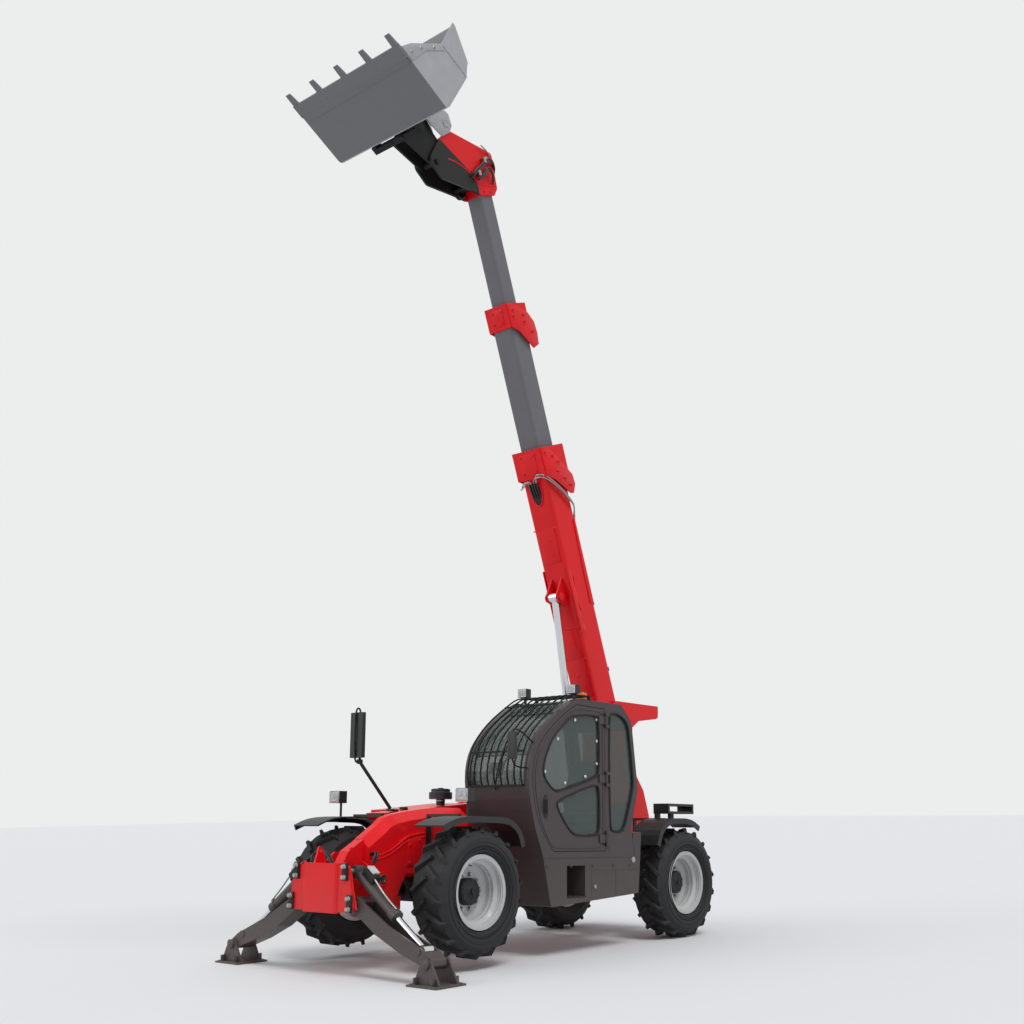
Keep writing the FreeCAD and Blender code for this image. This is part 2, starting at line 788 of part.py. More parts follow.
def rear_tower():
    """A plate each side of the boom, joined behind it, with a horn to the rear."""
    half, plate = dim("frame_half"), dim("frame_plate")
    top, low, arch = dim("rail_top"), dim("rail_bottom"), dim("arch_top")
    axle = FRONT_AXLE
    slot = dim("boom_y") - dim("outer_width") / 2 - 14
    slot_near = dim("boom_y") + dim("outer_width") / 2 + 14
    seat = dim("seat_gap")
    room = half - plate - seat
    pivot_x, pivot_z = PIVOT_X, dim("pivot_z")
    tip = pivot_x - dim("horn_length")
    peak = dim("tower_top")
    upper = (
        (pivot_x + 520, 1200),
        (pivot_x + 250, pivot_z + 60),
        (pivot_x + 220, peak - 60),
        (pivot_x + 160, peak),
        (tip, peak),
        (tip, peak - 150),
        (pivot_x - 300, peak - 205),
        (pivot_x - 170, pivot_z + 460),
        (pivot_x - 150, pivot_z),
        (pivot_x - 375, pivot_z - 270),
        (pivot_x - 480, 1310),
    )
    # the left plate goes down between the rails, the right one stands on the rail
    between = (
        (-axle - 590, top),
        (-axle - 590, low + 130),
        (-axle - 420, low + 130),
        (-axle - 320, arch),
        (-axle + 320, arch),
        (-axle + 380, low + 20),
        (pivot_x + 560, low + 20),
    )
    on_rail = (
        (-axle - 590, top + 58 + seat),
        (-axle - 300, top + seat),
        (pivot_x + 540, top + seat),
    )
    parts = []
    for name, a, b, foot in (("right", -half, slot, on_rail), ("left", slot_near, slot_near + plate, between)):
        parts.append(prism(f"tower_{name}", "XZ", upper + foot, a, b, rounds=((70, [3, 5]),)))
        parts.append(bar(f"tower_boss_{name}", "y", (pivot_x, pivot_z), a - (15 if name == "right" else 0), b + (15 if name == "left" else 0), 95))
    parts.append(block("horn_end", (tip + 5, slot - plate, peak - 145), (tip + 45, slot_near + plate, peak - 5)))
    parts.append(block("horn_roof", (tip + 5, slot - plate, peak - 16), (pivot_x - 330, slot_near + plate, peak)))
    parts.append(block("tower_back", (-axle - 560, -half, top + 60 + seat), (-axle - 530, slot_near + plate, 1240)))
    parts.append(block("tower_web_near", (pivot_x - 400, slot_near, arch + 30), (pivot_x + 500, room, arch + 60)))
    parts.append(block("tower_foot_web", (-axle - 590, -room, low + 130), (-axle - 420, room, low + 320)))
    # lift cylinder foot
    foot_x, foot_z = LIFT_FOOT_X, dim("lift_foot_z")
    parts.append(bar("foot_pin", "y", (foot_x, foot_z), -room, room, dim("lift_pin")))
    hole = bar("pivot_hole", "y", (pivot_x, pivot_z), slot - 80, slot_near + 80, dim("pivot_radius") + dim("running_gap"))
    node("rear_tower", cut("rear_tower_whole", fuse("rear_tower_solid", parts), [hole]))


# Boom: built in the boom's own axes, X along it from the pivot, Z to its back

def tube(name, start, end, width, depth, wall):
    """A boom section: a folded box with broad corner bends, open at both ends."""
    half_y, half_z = width / 2, depth / 2
    outer = ((-half_y, -half_z), (half_y, -half_z), (half_y, half_z), (-half_y, half_z))
    inner = [(u - wall if u.value > 0 else u + wall, v - wall if v.value > 0 else v + wall) for u, v in outer]
    bend = wall * 2.6
    shell = prism(name + "_outer", "YZ", outer, start, end, rounds=((bend + wall, [0, 1, 2, 3]),))
    void = prism(name + "_void", "YZ", inner, size(start) - 5, size(end) + 5, rounds=((bend, [0, 1, 2, 3]),))
    return cut(name + "_tube", shell, [void])


def collar(name, end, width, depth, rise, length):
    """The reinforcing band at the front of a section, deeper at the back."""
    half_y, half_z = width / 2, depth / 2
    side = (
        (size(end) - length, -half_z - rise),
        (size(end), -half_z - rise),
        (size(end), half_z + rise),
        (size(end) - length * 1.2, half_z + rise),
        (size(end) - length * 1.6, half_z),
        (size(end) - length, half_z - 60),
    )
    band = prism(name + "_band", "XZ", side, -half_y - rise, half_y + rise)
    room = prism(
        name + "_room",
        "YZ",
        ((-half_y + 4, -half_z + 4), (half_y - 4, -half_z + 4), (half_y - 4, half_z - 4), (-half_y + 4, half_z - 4)),
        size(end) - length * 2,
        size(end) + 5,
    )
    return cut(name + "_collar", band, [room])


def boom_sections():
    wide, deep = dim("outer_width"), dim("outer_depth")
    eye_x, eye_z = in_boom(dim("lift_eye_x"), dim("lift_eye_z"))
    half_y = wide / 2
    # outer section: tube, tail plates, pivot bosses, lift cylinder ears, collar
    parts = [
        tube("outer", -dim("outer_tail"), dim("outer_end"), wide, deep, dim("outer_wall")),
        collar("outer", dim("outer_end"), wide, deep, dim("collar_rise"), dim("collar_length")),
        block("outer_tail_cap", (-dim("outer_tail"), -half_y + 20, -deep / 2 + 20), (-dim("outer_tail") + 14, half_y - 20, deep / 2 - 20)),
    ]
    belly = -deep / 2
    for side in (-1, 1):
        ear = (
            (eye_x - 130, belly + 4),
            (eye_x - 50, eye_z - 50),
            (eye_x + 50, eye_z - 50),
            (eye_x + 210, belly + 4),
        )
        a = side * 72 - 12
        parts.append(prism(f"lift_ear_{side + 1}", "XZ", ear, a, a + 24, rounds=((40, [1, 2]),)))
        b = side * half_y
        parts.append(bar(f"pivot_boss_{side + 1}", "y", (0, 0), b - 8 if side > 0 else b - 10, b + 10 if side > 0 else b + 8, 92))
        parts.append(bar(f"lift_eye_head_{side + 1}", "y", (eye_x, eye_z), side * 92 - 9, side * 92 + 9, dim("lift_pin") + 6))
    solid = fuse("boom_outer_solid", parts)
    tail_low = bar("pivot_sleeve", "y", (0, 0), -half_y - 30, half_y + 30, dim("pivot_radius") + dim("running_gap"))
    node("boom_outer", cut("boom_outer_whole", solid, [tail_low]), STANCE.multiply(BOOM))
    pin = bar("boom_pin_bar", "y", (0, 0), -half_y - 58, half_y + 58, dim("pivot_radius"))
    node("boom_pin", pin, STANCE.multiply(BOOM))
    # middle and inner sections
    mid_start = dim("mid_end") - dim("mid_length")
    mid = fuse(
        "boom_mid_whole",
        [
            tube("mid", mid_start, dim("mid_end"), dim("mid_width"), dim("mid_depth"), dim("mid_wall")),
            collar("mid", dim("mid_end"), dim("mid_width"), dim("mid_depth"), dim("collar_rise") - 6, dim("collar_length") - 60),
        ]
        + wear_pads("mid", mid_start, dim("outer_width"), dim("outer_depth"), dim("outer_wall"), dim("mid_width"), dim("mid_depth")),
    )
    node("boom_mid", mid, STANCE.multiply(BOOM))
    inner_start = dim("inner_end") - dim("inner_length")
    hitch_x, hitch_z = in_boom(dim("hitch_x"), dim("hitch_z"))
    end = dim("inner_end")
    head = (
        (end - 480, dim("inner_depth") / 2 + 4),
        (end - 400, 194),
        (end + 4, 227),
        (end + 219, -440),
        (end + 123, -614),
        (size(hitch_x) + 23, size(hitch_z) - 119),
        (size(hitch_x) - 178, size(hitch_z) + 20),
        (end - 418, -335),
        (end - 480, -dim("inner_depth") / 2 - 4),
    )
    half_y = dim("inner_width") / 2
    plate = dim("head_plate")
    parts = [
        tube("inner", inner_start, end - 340, dim("inner_width"), dim("inner_depth"), dim("inner_wall")),
        prism("head_right", "XZ", head, -half_y - plate + 4, -half_y + 4, rounds=((40, [1, 2, 4]), (75, [3, 5, 6]))),
        prism("head_left", "XZ", head, half_y - 4, half_y + plate - 4, rounds=((40, [1, 2, 4]), (75, [3, 5, 6]))),
        block("head_web_back", (end - 385, -half_y, 172), (end - 60, half_y, 192)),
        block("head_web_front", (end - 400, -half_y, -330), (end - 376, half_y, -110)),
    ]
    parts += wear_pads("inner", inner_start, dim("mid_width"), dim("mid_depth"), dim("mid_wall"), dim("inner_width"), dim("inner_depth"))
    tilt_foot = TILT["foot"]
    parts.append(bar("tilt_foot_pin", "y", tilt_foot, -half_y, half_y, 24))
    hole = bar("hitch_hole", "y", (hitch_x, hitch_z), -half_y - 60, half_y + 60, dim("hitch_pin") + dim("running_gap"))
    node("boom_inner", cut("boom_inner_whole", fuse("boom_inner_solid", parts), [hole]), STANCE.multiply(BOOM))


def wear_pads(name, start, room_width, room_depth, room_wall, width, depth):
    """Slides on the tail of a section, filling the space to the section round it."""
    gap = dim("seat_gap")
    pads = []
    for side in (-1, 1):
        outer_y = room_width / 2 - room_wall - gap
        outer_z = room_depth / 2 - room_wall - gap
        y = (width / 2 - 1, outer_y) if side > 0 else (-outer_y, -(width / 2) + 1)
        z = (depth / 2 - 1, outer_z) if side > 0 else (-outer_z, -(depth / 2) + 1)
        pads.append(block(f"{name}_side_pad_{side + 1}", (size(start) + 10, y[0], -60), (size(start) + 130, y[1], 60)))
        pads.append(block(f"{name}_face_pad_{side + 1}", (size(start) + 10, -60, z[0]), (size(start) + 130, 60, z[1])))
    return pads


def ram(name, foot, eye, barrel, rod, pins, share, hold, ear_half, pin_half, axis="y", frame=STANCE, plane_at=0):
    """A hydraulic cylinder in a plane: barrel node from its foot, rod node to its eye.

    foot and eye are (u, v) in the plane across the given axis, and pins the radii of their
    pins. The barrel takes the given share of the length, and holds that much of the rod.
    The rod carries its own pin, which ends just short of the ears at pin_half."""
    (u0, v0), (u1, v1) = foot, eye
    run = math.hypot(float(u1) - float(u0), float(v1) - float(v0))
    slope = math.degrees(math.atan2(float(v1) - float(v0), float(u1) - float(u0)))
    gap = dim("running_gap")
    barrel, rod, pin, eye_pin = size(barrel), size(rod), size(pins[0]), size(pins[1])
    end = run * share
    body = [
        bar(f"{name}_tube", "x", (0, 0), pin + 20, end, barrel),
        bar(f"{name}_gland", "x", (0, 0), end - 60, size(end) + 18, barrel + 7),
        bar(f"{name}_foot_eye", "y", (0, 0), -ear_half, ear_half, pin + 26),
    ]
    holes = [
        bar(f"{name}_foot_hole", "y", (0, 0), -size(ear_half) - 5, size(ear_half) + 5, pin + gap),
        bar(f"{name}_bore", "x", (0, 0), pin + 56, size(end) + 30, rod + gap),
    ]
    barrel_obj = cut(f"{name}_barrel_whole", fuse(f"{name}_barrel_solid", body), holes)
    stem = [
        bar(f"{name}_stem", "x", (0, 0), end - hold, size(run) - eye_pin - 10, rod),
        bar(f"{name}_eye", "y", (run, 0), -ear_half, ear_half, eye_pin + 24),
        bar(f"{name}_eye_pin", "y", (run, 0), -size(pin_half), pin_half, eye_pin),
    ]
    rod_obj = fuse(f"{name}_rod_whole", stem)
    if axis == "y":
        place = Placement(vec(u0, plane_at, v0), Rotation(Vector(0, -1, 0), slope))
    else:
        into_plane = Rotation(Vector(0, 0, 1), 90)
        place = Placement(vec(plane_at, u0, v0), Rotation(Vector(1, 0, 0), slope).multiply(into_plane))
    for kind, obj in (("barrel", barrel_obj), ("rod", rod_obj)):
        node(f"{name}_{kind}", obj, frame.multiply(place))


def lift_ram():
    foot = (LIFT_FOOT_X, dim("lift_foot_z"))
    eye = (dim("lift_eye_x"), dim("lift_eye_z"))
    pins = (dim("lift_pin"), dim("lift_pin"))
    ram("lift", foot, eye, dim("lift_barrel"), dim("lift_rod"), pins, 0.525, 140, 54, 60 - dim("seat_gap"), plane_at=dim("boom_y"))


def tele_ram():
    """Telescope cylinder along the boom's back: barrel on the outer section, rod on the middle one."""
    z = dim("outer_depth") / 2 + dim("tele_rise")
    end = dim("outer_end") - 540
    barrel = fuse(
        "tele_barrel_solid",
        [
            bar("tele_tube", "x", (0, z), 100, end, dim("tele_barrel")),
            block("tele_seat_low", (150, -40, dim("outer_depth") / 2 + dim("seat_gap")), (240, 40, z)),
            block("tele_seat_high", (end - 160, -40, dim("outer_depth") / 2 + dim("seat_gap")), (end - 60, 40, z)),
        ],
    )
    bore = bar("tele_bore", "x", (0, z), 140, end + 10, dim("tele_rod") + dim("running_gap"))
    node("tele_barrel", cut("tele_barrel_whole", barrel, [bore]), STANCE.multiply(BOOM))
    reach = dim("mid_end") - 20
    anchor = dim("mid_depth") / 2 + dim("collar_rise") - 6 + dim("seat_gap")
    rod = fuse(
        "tele_rod_whole",
        [
            bar("tele_stem", "x", (0, z), 1250, reach, dim("tele_rod")),
            block("tele_anchor", (reach - 70, -36, anchor), (reach, 36, z + 40)),
        ],
    )
    node("tele_rod", rod, STANCE.multiply(BOOM))


# Hitch, tilt cylinder and bucket

def tilt_points():
    """Tilt cylinder pins, in the boom's own axes: its foot in the head, its eye on the hitch."""
    hitch_x, hitch_z = in_boom(dim("hitch_x"), dim("hitch_z"))
    foot = (float(dim("tilt_foot_x")), float(dim("tilt_foot_z")))
    crank = float(dim("tilt_crank"))
    toward = math.radians(float(dim("tilt_crank_angle")))
    eye = (hitch_x + crank * math.cos(toward), hitch_z + crank * math.sin(toward))
    return {"foot": foot, "eye": eye, "hitch": (hitch_x, hitch_z)}


TILT = tilt_points()


def bucket_frame():
    heel = vec(dim("bucket_heel_x"), dim("boom_y"), dim("bucket_heel_z"))
    return Placement(heel, Rotation(Vector(0, -1, 0), float(dim("bucket_angle"))))


def hitch():
    """Quick hitch: two crank plates on the head's pin, with hooks for the bucket."""
    to_bucket = bucket_frame().inverse().multiply(BOOM)
    pivot = to_bucket.multVec(Vector(TILT["hitch"][0], 0, TILT["hitch"][1]))
    eye = to_bucket.multVec(Vector(TILT["eye"][0], 0, TILT["eye"][1]))
    plate = dim("head_plate")
    inner = dim("inner_width") / 2 - 4 - 6 - plate
    reach = dim("inner_width") / 2 + dim("head_plate") + 14
    outline = (
        (pivot.x - 58, pivot.z - 52),
        (pivot.x + 60, pivot.z - 72),
        (-60, 30),
        (-60, 560),
        (eye.x + 75, eye.z + 60),
        (eye.x - 40, eye.z + 52),
        (eye.x - 56, eye.z - 20),
    )
    parts = []
    for side in (-1, 1):
        a = inner if side > 0 else -inner - plate
        parts.append(prism(f"hitch_plate_{side + 1}", "XZ", outline, a, a + plate, rounds=((35, [0, 1, 4, 5]),)))
        hook_y = 330 * side
        parts.append(block(f"hitch_hook_{side + 1}", (-60, hook_y - 30, 40), (-25, hook_y + 30, 560)))
    parts.append(block("hitch_bar_low", (-110, -360, 40), (-50, 360, 110)))
    parts.append(block("hitch_bar_high", (-110, -360, 480), (-50, 360, 550)))
    parts.append(bar("hitch_pivot_pin", "y", (pivot.x, pivot.z), -reach, reach, dim("hitch_pin")))
    node("hitch", fuse("hitch_whole", parts), STANCE.multiply(bucket_frame()))


def bucket():
    """Bucket in its own axes: floor along X from the heel, open to the front."""
    half, plate, floor = dim("bucket_half"), dim("bucket_plate"), dim("bucket_floor")
    # side outline: x, z
    side = (
        (0, 0),
        (floor - 30, 0),
        (floor - 100, 165),
        (400, 570),
        (420, 930),
        (380, 925),
        (60, 745),
        (-24, 560),
        (-24, 60),
    )
    shell = prism("bucket_block", "XZ", side, -half, half, rounds=((70, [0]), (50, [6, 7, 8])))
    hollow = (
        (plate * 1.2, plate),
        (floor + 60, plate),
        (floor + 60, 1000),
        (400, 1000),
        (396, 915),
        (78, 735),
        (plate - 24, 552),
        (plate - 24, 70),
    )
    void = prism("bucket_void", "XZ", hollow, -half + plate, half - plate, rounds=((60, [0, 7]), (40, [5, 6])))
    parts = [cut("bucket_shell", shell, [void])]
    parts.append(block("cutting_edge", (floor - 150, -half, -12), (floor, half, plate)))
    count = int(float(dim("tooth_count")))
    for number in range(count):
        y = -half + 45 + (half * 2 - 90) * number / (count - 1)
        tooth = ((floor - 110, plate - 2), (floor - 110, -14), (floor + 130, -6), (floor + 130, 4), (floor - 40, plate + 22), (floor - 110, plate + 22))
        parts.append(prism(f"tooth_{number}", "XZ", tooth, y - 32, y + 32))
    for s in (-1, 1):
        parts.append(block(f"bucket_ear_{s + 1}", (-24, s * 330 - 30, 120), (-20, s * 330 + 30, 470)))
    node("bucket", fuse("bucket_whole", parts), STANCE.multiply(bucket_frame()))


TILT_EARS = dim("inner_width") / 2 - 10 - dim("head_plate")


def tilt_ram():
    inner = STANCE.multiply(BOOM)
    ram("tilt", TILT["foot"], TILT["eye"], dim("tilt_barrel"), dim("tilt_rod"), (24, 24), 0.66, 238, 45, TILT_EARS - dim("seat_gap"), frame=inner)


# Stabilisers

LEG_PLANE = (NOSE_FRONT - dim("nose_plate") + NOSE_REAR) / 2


def pad_pin(side):
    """The pad's pin on the level chassis: its height is set above the real ground."""
    hub_z = float(dim("tyre_radius"))
    run = float(LEG_PLANE) - rear_hub.x
    drop = float(dim("pad_pin_height")) - hub_z - run * math.sin(lift_slope)
    return vec(LEG_PLANE, side * dim("pad_y"), hub_z + drop / math.cos(lift_slope))


RAM_EYES = {}


def stabilisers():
    pivot_y, pivot_z = dim("leg_pivot_y"), dim("leg_pivot_z")
    middle = LEG_PLANE
    half = dim("leg_width") / 2
    pin = dim("leg_pin")
    gap = dim("running_gap")
    for label, side in (("left", 1), ("right", -1)):
        foot = pad_pin(side)
        reach_y, drop = foot.y * side, foot.z
        dy, dz = reach_y - float(pivot_y), drop - float(pivot_z)
        length = math.hypot(dy, dz)
        slope = math.degrees(math.atan2(dz, dy))
        # arm outline along its own length: u from the pivot, v upwards
        arm = (
            (-55, -40),
            (-20, -62),
            (length * 0.35, -105),
            (length * 0.68, -92),
            (length + 20, -48),
            (length + 45, 0),
            (length + 20, 45),
            (length - 90, 62),
            (length * 0.45, 35),
            (-10, 62),
            (-50, 40),
        )
        solid = prism(f"leg_arm_{label}", "XZ", arm, -half, half, rounds=((60, [2, 3]), (20, [4, 5, 6])))
        trough = (
            (80, -50),
            (length * 0.35, -88),
            (length * 0.68, -76),
            (length - 85, -44),
            (length - 85, 140),
            (80, 140),
        )
        slot = prism(f"leg_slot_{label}", "XZ", trough, -dim("leg_slot_half"), dim("leg_slot_half"))
        holes = [
            bar(f"leg_root_hole_{label}", "y", (0, 0), -half - 5, half + 5, pin + gap),
            bar(f"leg_foot_hole_{label}", "y", (length, 0), -half - 5, half + 5, pin + gap),
        ]
        eye_u, eye_v = length - 150, 28
        body = cut(f"leg_cut_{label}", solid, [slot] + holes)
        heads = [bar(f"leg_eye_head_{label}_{s + 1}", "y", (eye_u, eye_v), s * (half + 2) - 6, s * (half + 2) + 6, 34) for s in (-1, 1)]
        turn = Rotation(Vector(1, 0, 0), slope).multiply(Rotation(Vector(0, 0, 1), 90))
        if side < 0:
            turn = Rotation(Vector(0, 0, 1), 180).multiply(turn)
        place = Placement(vec(middle, side * pivot_y, pivot_z), turn)
        node(f"leg_{label}", fuse(f"leg_whole_{label}", [body] + heads), STANCE.multiply(place))
        # the pins that stay in the nose
        rods = [
            bar(f"nose_leg_pin_{label}", "x", (side * pivot_y, pivot_z), NOSE_REAR - 45, NOSE_FRONT + 12, pin),
            bar(f"nose_ram_pin_{label}", "x", (side * dim("leg_ram_y"), dim("leg_ram_z")), NOSE_REAR - 45, NOSE_FRONT + 12, pin),
        ]
        node(f"nose_pins_{label}", group(f"nose_pins_whole_{label}", rods))
        # cylinder, in the leg's plane
        c, s = math.cos(math.radians(slope)), math.sin(math.radians(slope))
        eye = (float(pivot_y) + eye_u * c - eye_v * s, float(pivot_z) + eye_u * s + eye_v * c)
        RAM_EYES[label] = eye
        start = (dim("leg_ram_y"), dim("leg_ram_z"))
        mirror = Placement(vec(2 * middle, 0, 0), Rotation(Vector(0, 0, 1), 180)) if side < 0 else Placement()
        ram(
            f"leg_ram_{label}",
            start,
            eye,
            dim("leg_ram_barrel"),
            dim("leg_ram_rod"),
            (dim("leg_pin"), 24),
            0.58,
            150,
            54,
            dim("leg_slot_half") - dim("seat_gap"),
            axis="x",
            frame=STANCE.multiply(mirror),
            plane_at=middle,
        )
        pad(label, foot)


def pad(label, foot):
    """Foot pad: a base plate, two A-shaped cheeks and the pin, flat on the ground."""
    half_x, half_y = dim("pad_length") / 2, dim("pad_width") / 2
    plate = dim("pad_plate")
    height = dim("pad_pin_height")
    cheek_in = dim("leg_width") / 2 + 6
    parts = [block(f"pad_base_{label}", (-half_x, -half_y, -height), (half_x, half_y, plate - height))]
    cheek = (
        (-half_y + 20, plate - height - 2),
        (half_y - 20, plate - height - 2),
        (46, 34),
        (-46, 34),
    )
    for s in (-1, 1):
        a = cheek_in if s > 0 else -cheek_in - 18
        parts.append(prism(f"pad_cheek_{label}_{s + 1}", "YZ", cheek, a, a + 18, rounds=((34, [2, 3]),)))
    along = vec((cheek_in + 36) * math.cos(lift_slope), 0, (cheek_in + 36) * math.sin(lift_slope))
    parts.append(strut(f"pad_pin_{label}", -along, along, dim("leg_pin")))
    obj = fuse(f"pad_whole_{label}", parts)
    node(f"pad_{label}", obj, Placement(on_stance(foot), Rotation()))


# Cab

# the cab's front, from the foot of the big front panel up over the roof's edge
CAB_FRONT = smooth(((880, 1160), (952, 1420), (975, 1700), (900, 1935), (700, 2150), (430, 2338), (245, dim("cab_roof"))), 3)
CAB_SIDE = [(760, 880)] + CAB_FRONT + [(-520, dim("cab_roof")), (-700, 2264), (-800, 1556), (-670, 1160), (-730, 880)]
DOOR_FRONT = smooth(((690, 1010), (835, 1230), (905, 1480), (915, 1700), (845, 1910), (650, 2120), (390, 2300), (235, 2380)), 3)
DOOR_SIDE = [(-225, 925), (215, 925), (600, 925)] + DOOR_FRONT + [(-225, 2372)]
QUARTER = ((-300, 1120), (-545, 1120), (-725, 1600), (-640, 2235), (-500, 2330), (-300, 2340))
SIDE_WINDOW = ((560, 1320), (-600, 1320), (-690, 1600), (-600, 2200), (-480, 2310), (200, 2310), (720, 1960), (860, 1640))
SCREEN_FOOT = 1560
PANE_DEPTH = 12


def rounded_window(name, outline, low, high, gap=0):
    """A window hole, or with a gap the pane that fits it."""
    edge = drawn_in(outline, gap) if gap else outline
    return prism(name, "XZ", edge, low, high, rounds=((50 - gap, list(range(len(outline)))),))


def cab():
    outer, inner, wall = dim("cab_outer"), dim("cab_inner"), dim("cab_wall")
    last = len(CAB_SIDE)
    shell = prism("cab_block", "XZ", CAB_SIDE, inner, outer, rounds=((100, [last - 4]), (60, [last - 2])))
    void = prism("cab_void", "XZ", drawn_in(CAB_SIDE, wall), inner + wall, outer - wall, rounds=((60, [last - 4]),))
    doorway = prism("cab_doorway", "XZ", DOOR_SIDE, outer - wall - 5, outer + 10, rounds=((60, [2]),))
    windows = [
        rounded_window("quarter_hole", QUARTER, outer - wall - 5, outer + 10),
        rounded_window("side_hole", SIDE_WINDOW, inner - 10, inner + wall + 5),
        # windscreen and roof window: the curved front between the pillars
        block("screen_hole", (150, inner + 62, SCREEN_FOOT), (1100, outer - 62, 2600)),
        block("rear_hole", (-900, inner + 80, 1420), (-560, outer - 80, 2180)),
    ]
    opened = cut("cab_opened", shell, [void, doorway] + windows)
    hinges = []
    for n, z in enumerate((1050, 1650, 2250)):
        for m, a in enumerate((z - 75, z + 45.3)):
            hinges.append(bar(f"cab_knuckle_{n}_{m}", "z", (-232, outer + 17), a, a + 29.7, 12))
            hinges.append(block(f"cab_leaf_{n}_{m}", (-290, outer - 2, a), (-232, outer + 20, a + 29.7)))
        hinges.append(bar(f"cab_hinge_pin_{n}", "z", (-232, outer + 17), z - 60, z + 60, 5))
    node("cab_shell", fuse("cab_whole", [opened] + hinges))


def cab_glass():
    """Window panes, each set in the middle of its opening."""
    outer, inner, pane = dim("cab_outer"), dim("cab_inner"), dim("cab_glass")
    gap = dim("seat_gap")
    quarter = rounded_window("quarter_pane", QUARTER, outer - PANE_DEPTH - pane, outer - PANE_DEPTH, gap)
    side = rounded_window("side_pane", SIDE_WINDOW, inner + PANE_DEPTH, inner + PANE_DEPTH + pane, gap)
    bent = cut(
        "bent_pane",
        prism("bent_pane_out", "XZ", drawn_in(CAB_SIDE, PANE_DEPTH), inner + 50, outer - 50),
        [prism("bent_pane_in", "XZ", drawn_in(CAB_SIDE, pane + PANE_DEPTH), inner + 40, outer - 40)],
    )
    front = block("screen_room", (150 + gap, inner + 62 + gap, SCREEN_FOOT + gap), (1100, outer - 62 - gap, 2600))
    rear = block("rear_room", (-900, inner + 80 + gap, 1420 + gap), (-560, outer - 80 - gap, 2180 - gap))
    bent_panes = [common("screen_pane", [bent, front]), common("rear_pane", [bent, rear])]
    node("cab_glass", group("cab_glass_whole", [quarter, side] + bent_panes))


def cab_door():
    outer, wall, gap = dim("cab_outer"), dim("cab_wall"), dim("door_gap")
    panel = prism("door_panel", "XZ", drawn_in(DOOR_SIDE, gap), outer - wall, outer, rounds=((54, [2]),))
    upper = ((-130, 1670), (575, 1490), (765, 1640), (745, 1800), (620, 2020), (330, 2262), (-130, 2300))
    lower = ((-130, 1080), (290, 1080), (430, 1200), (585, 1400), (180, 1530), (-130, 1600))
    holes = [
        rounded_window("door_hole_up", upper, outer - wall - 5, outer + 5),
        rounded_window("door_hole_low", lower, outer - wall - 5, outer + 5),
    ]
    leaf_cut = cut("door_leaf", panel, holes)
    parts = [leaf_cut]
    for number, z in enumerate((1050, 1650, 2250)):
        parts.append(bar(f"door_knuckle_{number}", "z", (-232, outer + 17), z - 45, z + 45, 12))
        parts.append(block(f"door_strap_{number}", (-212, outer - 2, z - 40), (-120, outer + 14, z + 40)))
        parts.append(block(f"door_link_{number}", (-232, outer + 7, z - 40), (-210, outer + 20, z + 40)))
    parts.append(block("door_handle", (700, outer - 2, 1290), (735, outer + 40, 1420)))
    bores = [bar(f"door_bore_{n}", "z", (-232, outer + 17), z - 50, z + 50, 5.06) for n, z in enumerate((1050, 1650, 2250))]
    node("door", cut("door_whole", fuse("door_solid", parts), bores))
    room = (outer - PANE_DEPTH - dim("cab_glass"), outer - PANE_DEPTH, dim("seat_gap"))
    panes = [rounded_window("door_pane_up", upper, *room), rounded_window("door_pane_low", lower, *room)]
    node("door_glass", group("door_glass_whole", panes))


def guard():
    """Bar guard over the windscreen and the roof's front."""
    outer, inner, roof = dim("cab_outer"), dim("cab_inner"), dim("cab_roof")
    count = 9
    parts = []
    route = smooth(((990, 1545), (1018, 1700), (940, 1960), (732, 2186), (452, 2380), (262, 2482), (90, 2496), (-60, 2496)), 3)
    low, high = inner + 70, outer - 70
    toe = height_on([(z, x) for x, z in CAB_FRONT], 1559) + dim("seat_gap")
    for number in range(count):
        y = low + (high - low) * number / (count - 1)
        parts.append(prism(f"guard_bar_{number}", "XZ", strip(route, 13), y - 5, y + 5))
    for number, (x, z) in enumerate(((988, 1552), (966, 1882), (446, 2376), (-50, 2489))):
        parts.append(block(f"guard_rail_{number}", (x - 10, low - 5, z - 8), (x + 10, high + 5, z + 8)))
    for side, y in ((0, low), (1, high)):
        parts.append(block(f"guard_foot_{side}", (-64, y - 14, roof + dim("seat_gap")), (-36, y + 14, 2490)))
        parts.append(block(f"guard_toe_{side}", (toe, y - 14, 1544), (992, y + 14, 1559)))
    node("cab_guard", fuse("cab_guard_whole", parts))


def cab_inside():
    """Seat, steering column and wheel, seen through the glass."""
    mid = (dim("cab_outer") + dim("cab_inner")) / 2
    floor = dim("cab_floor") + 40 + dim("seat_gap")
    seat = [
        block("seat_box", (-420, mid - 180, floor), (60, mid + 180, floor + 280)),
        block("seat_cushion", (-430, mid - 230, floor + 280), (80, mid + 230, floor + 400)),
        prism("seat_back", "XZ", ((-430, floor + 400), (-300, floor + 400), (-420, floor + 960), (-530, floor + 960)), mid - 225, mid + 225, rounds=((40, [2, 3]),)),
    ]
    node("seat", fuse("seat_whole", seat))
    column = [
        strut("column", (620, mid, floor + 40), (430, mid, floor + 560), 38),
        block("dash", (600, dim("cab_inner") + 45, floor), (690, dim("cab_outer") - 150, floor + 240)),
        block("dash_foot", (560, mid - 120, floor), (690, mid + 120, floor + 60)),
    ]
    wheel = doc.addObject("Part::Torus", "steering_ring")
    wheel.Radius1 = 190
    wheel.Radius2 = 15
    tilt = Rotation(Vector(0, 1, 0), -22)
    wheel.Placement = Placement(vec(430, mid, floor + 570), tilt)
    spoke = block("steering_spoke", (-185, -16, -8), (185, 16, 8))
    spoke_at = copy_of_box("steering_spoke_at", spoke, Placement(vec(430, mid, floor + 570), tilt))
    node("steering_column", fuse("steering_whole", column + [wheel, spoke_at]))


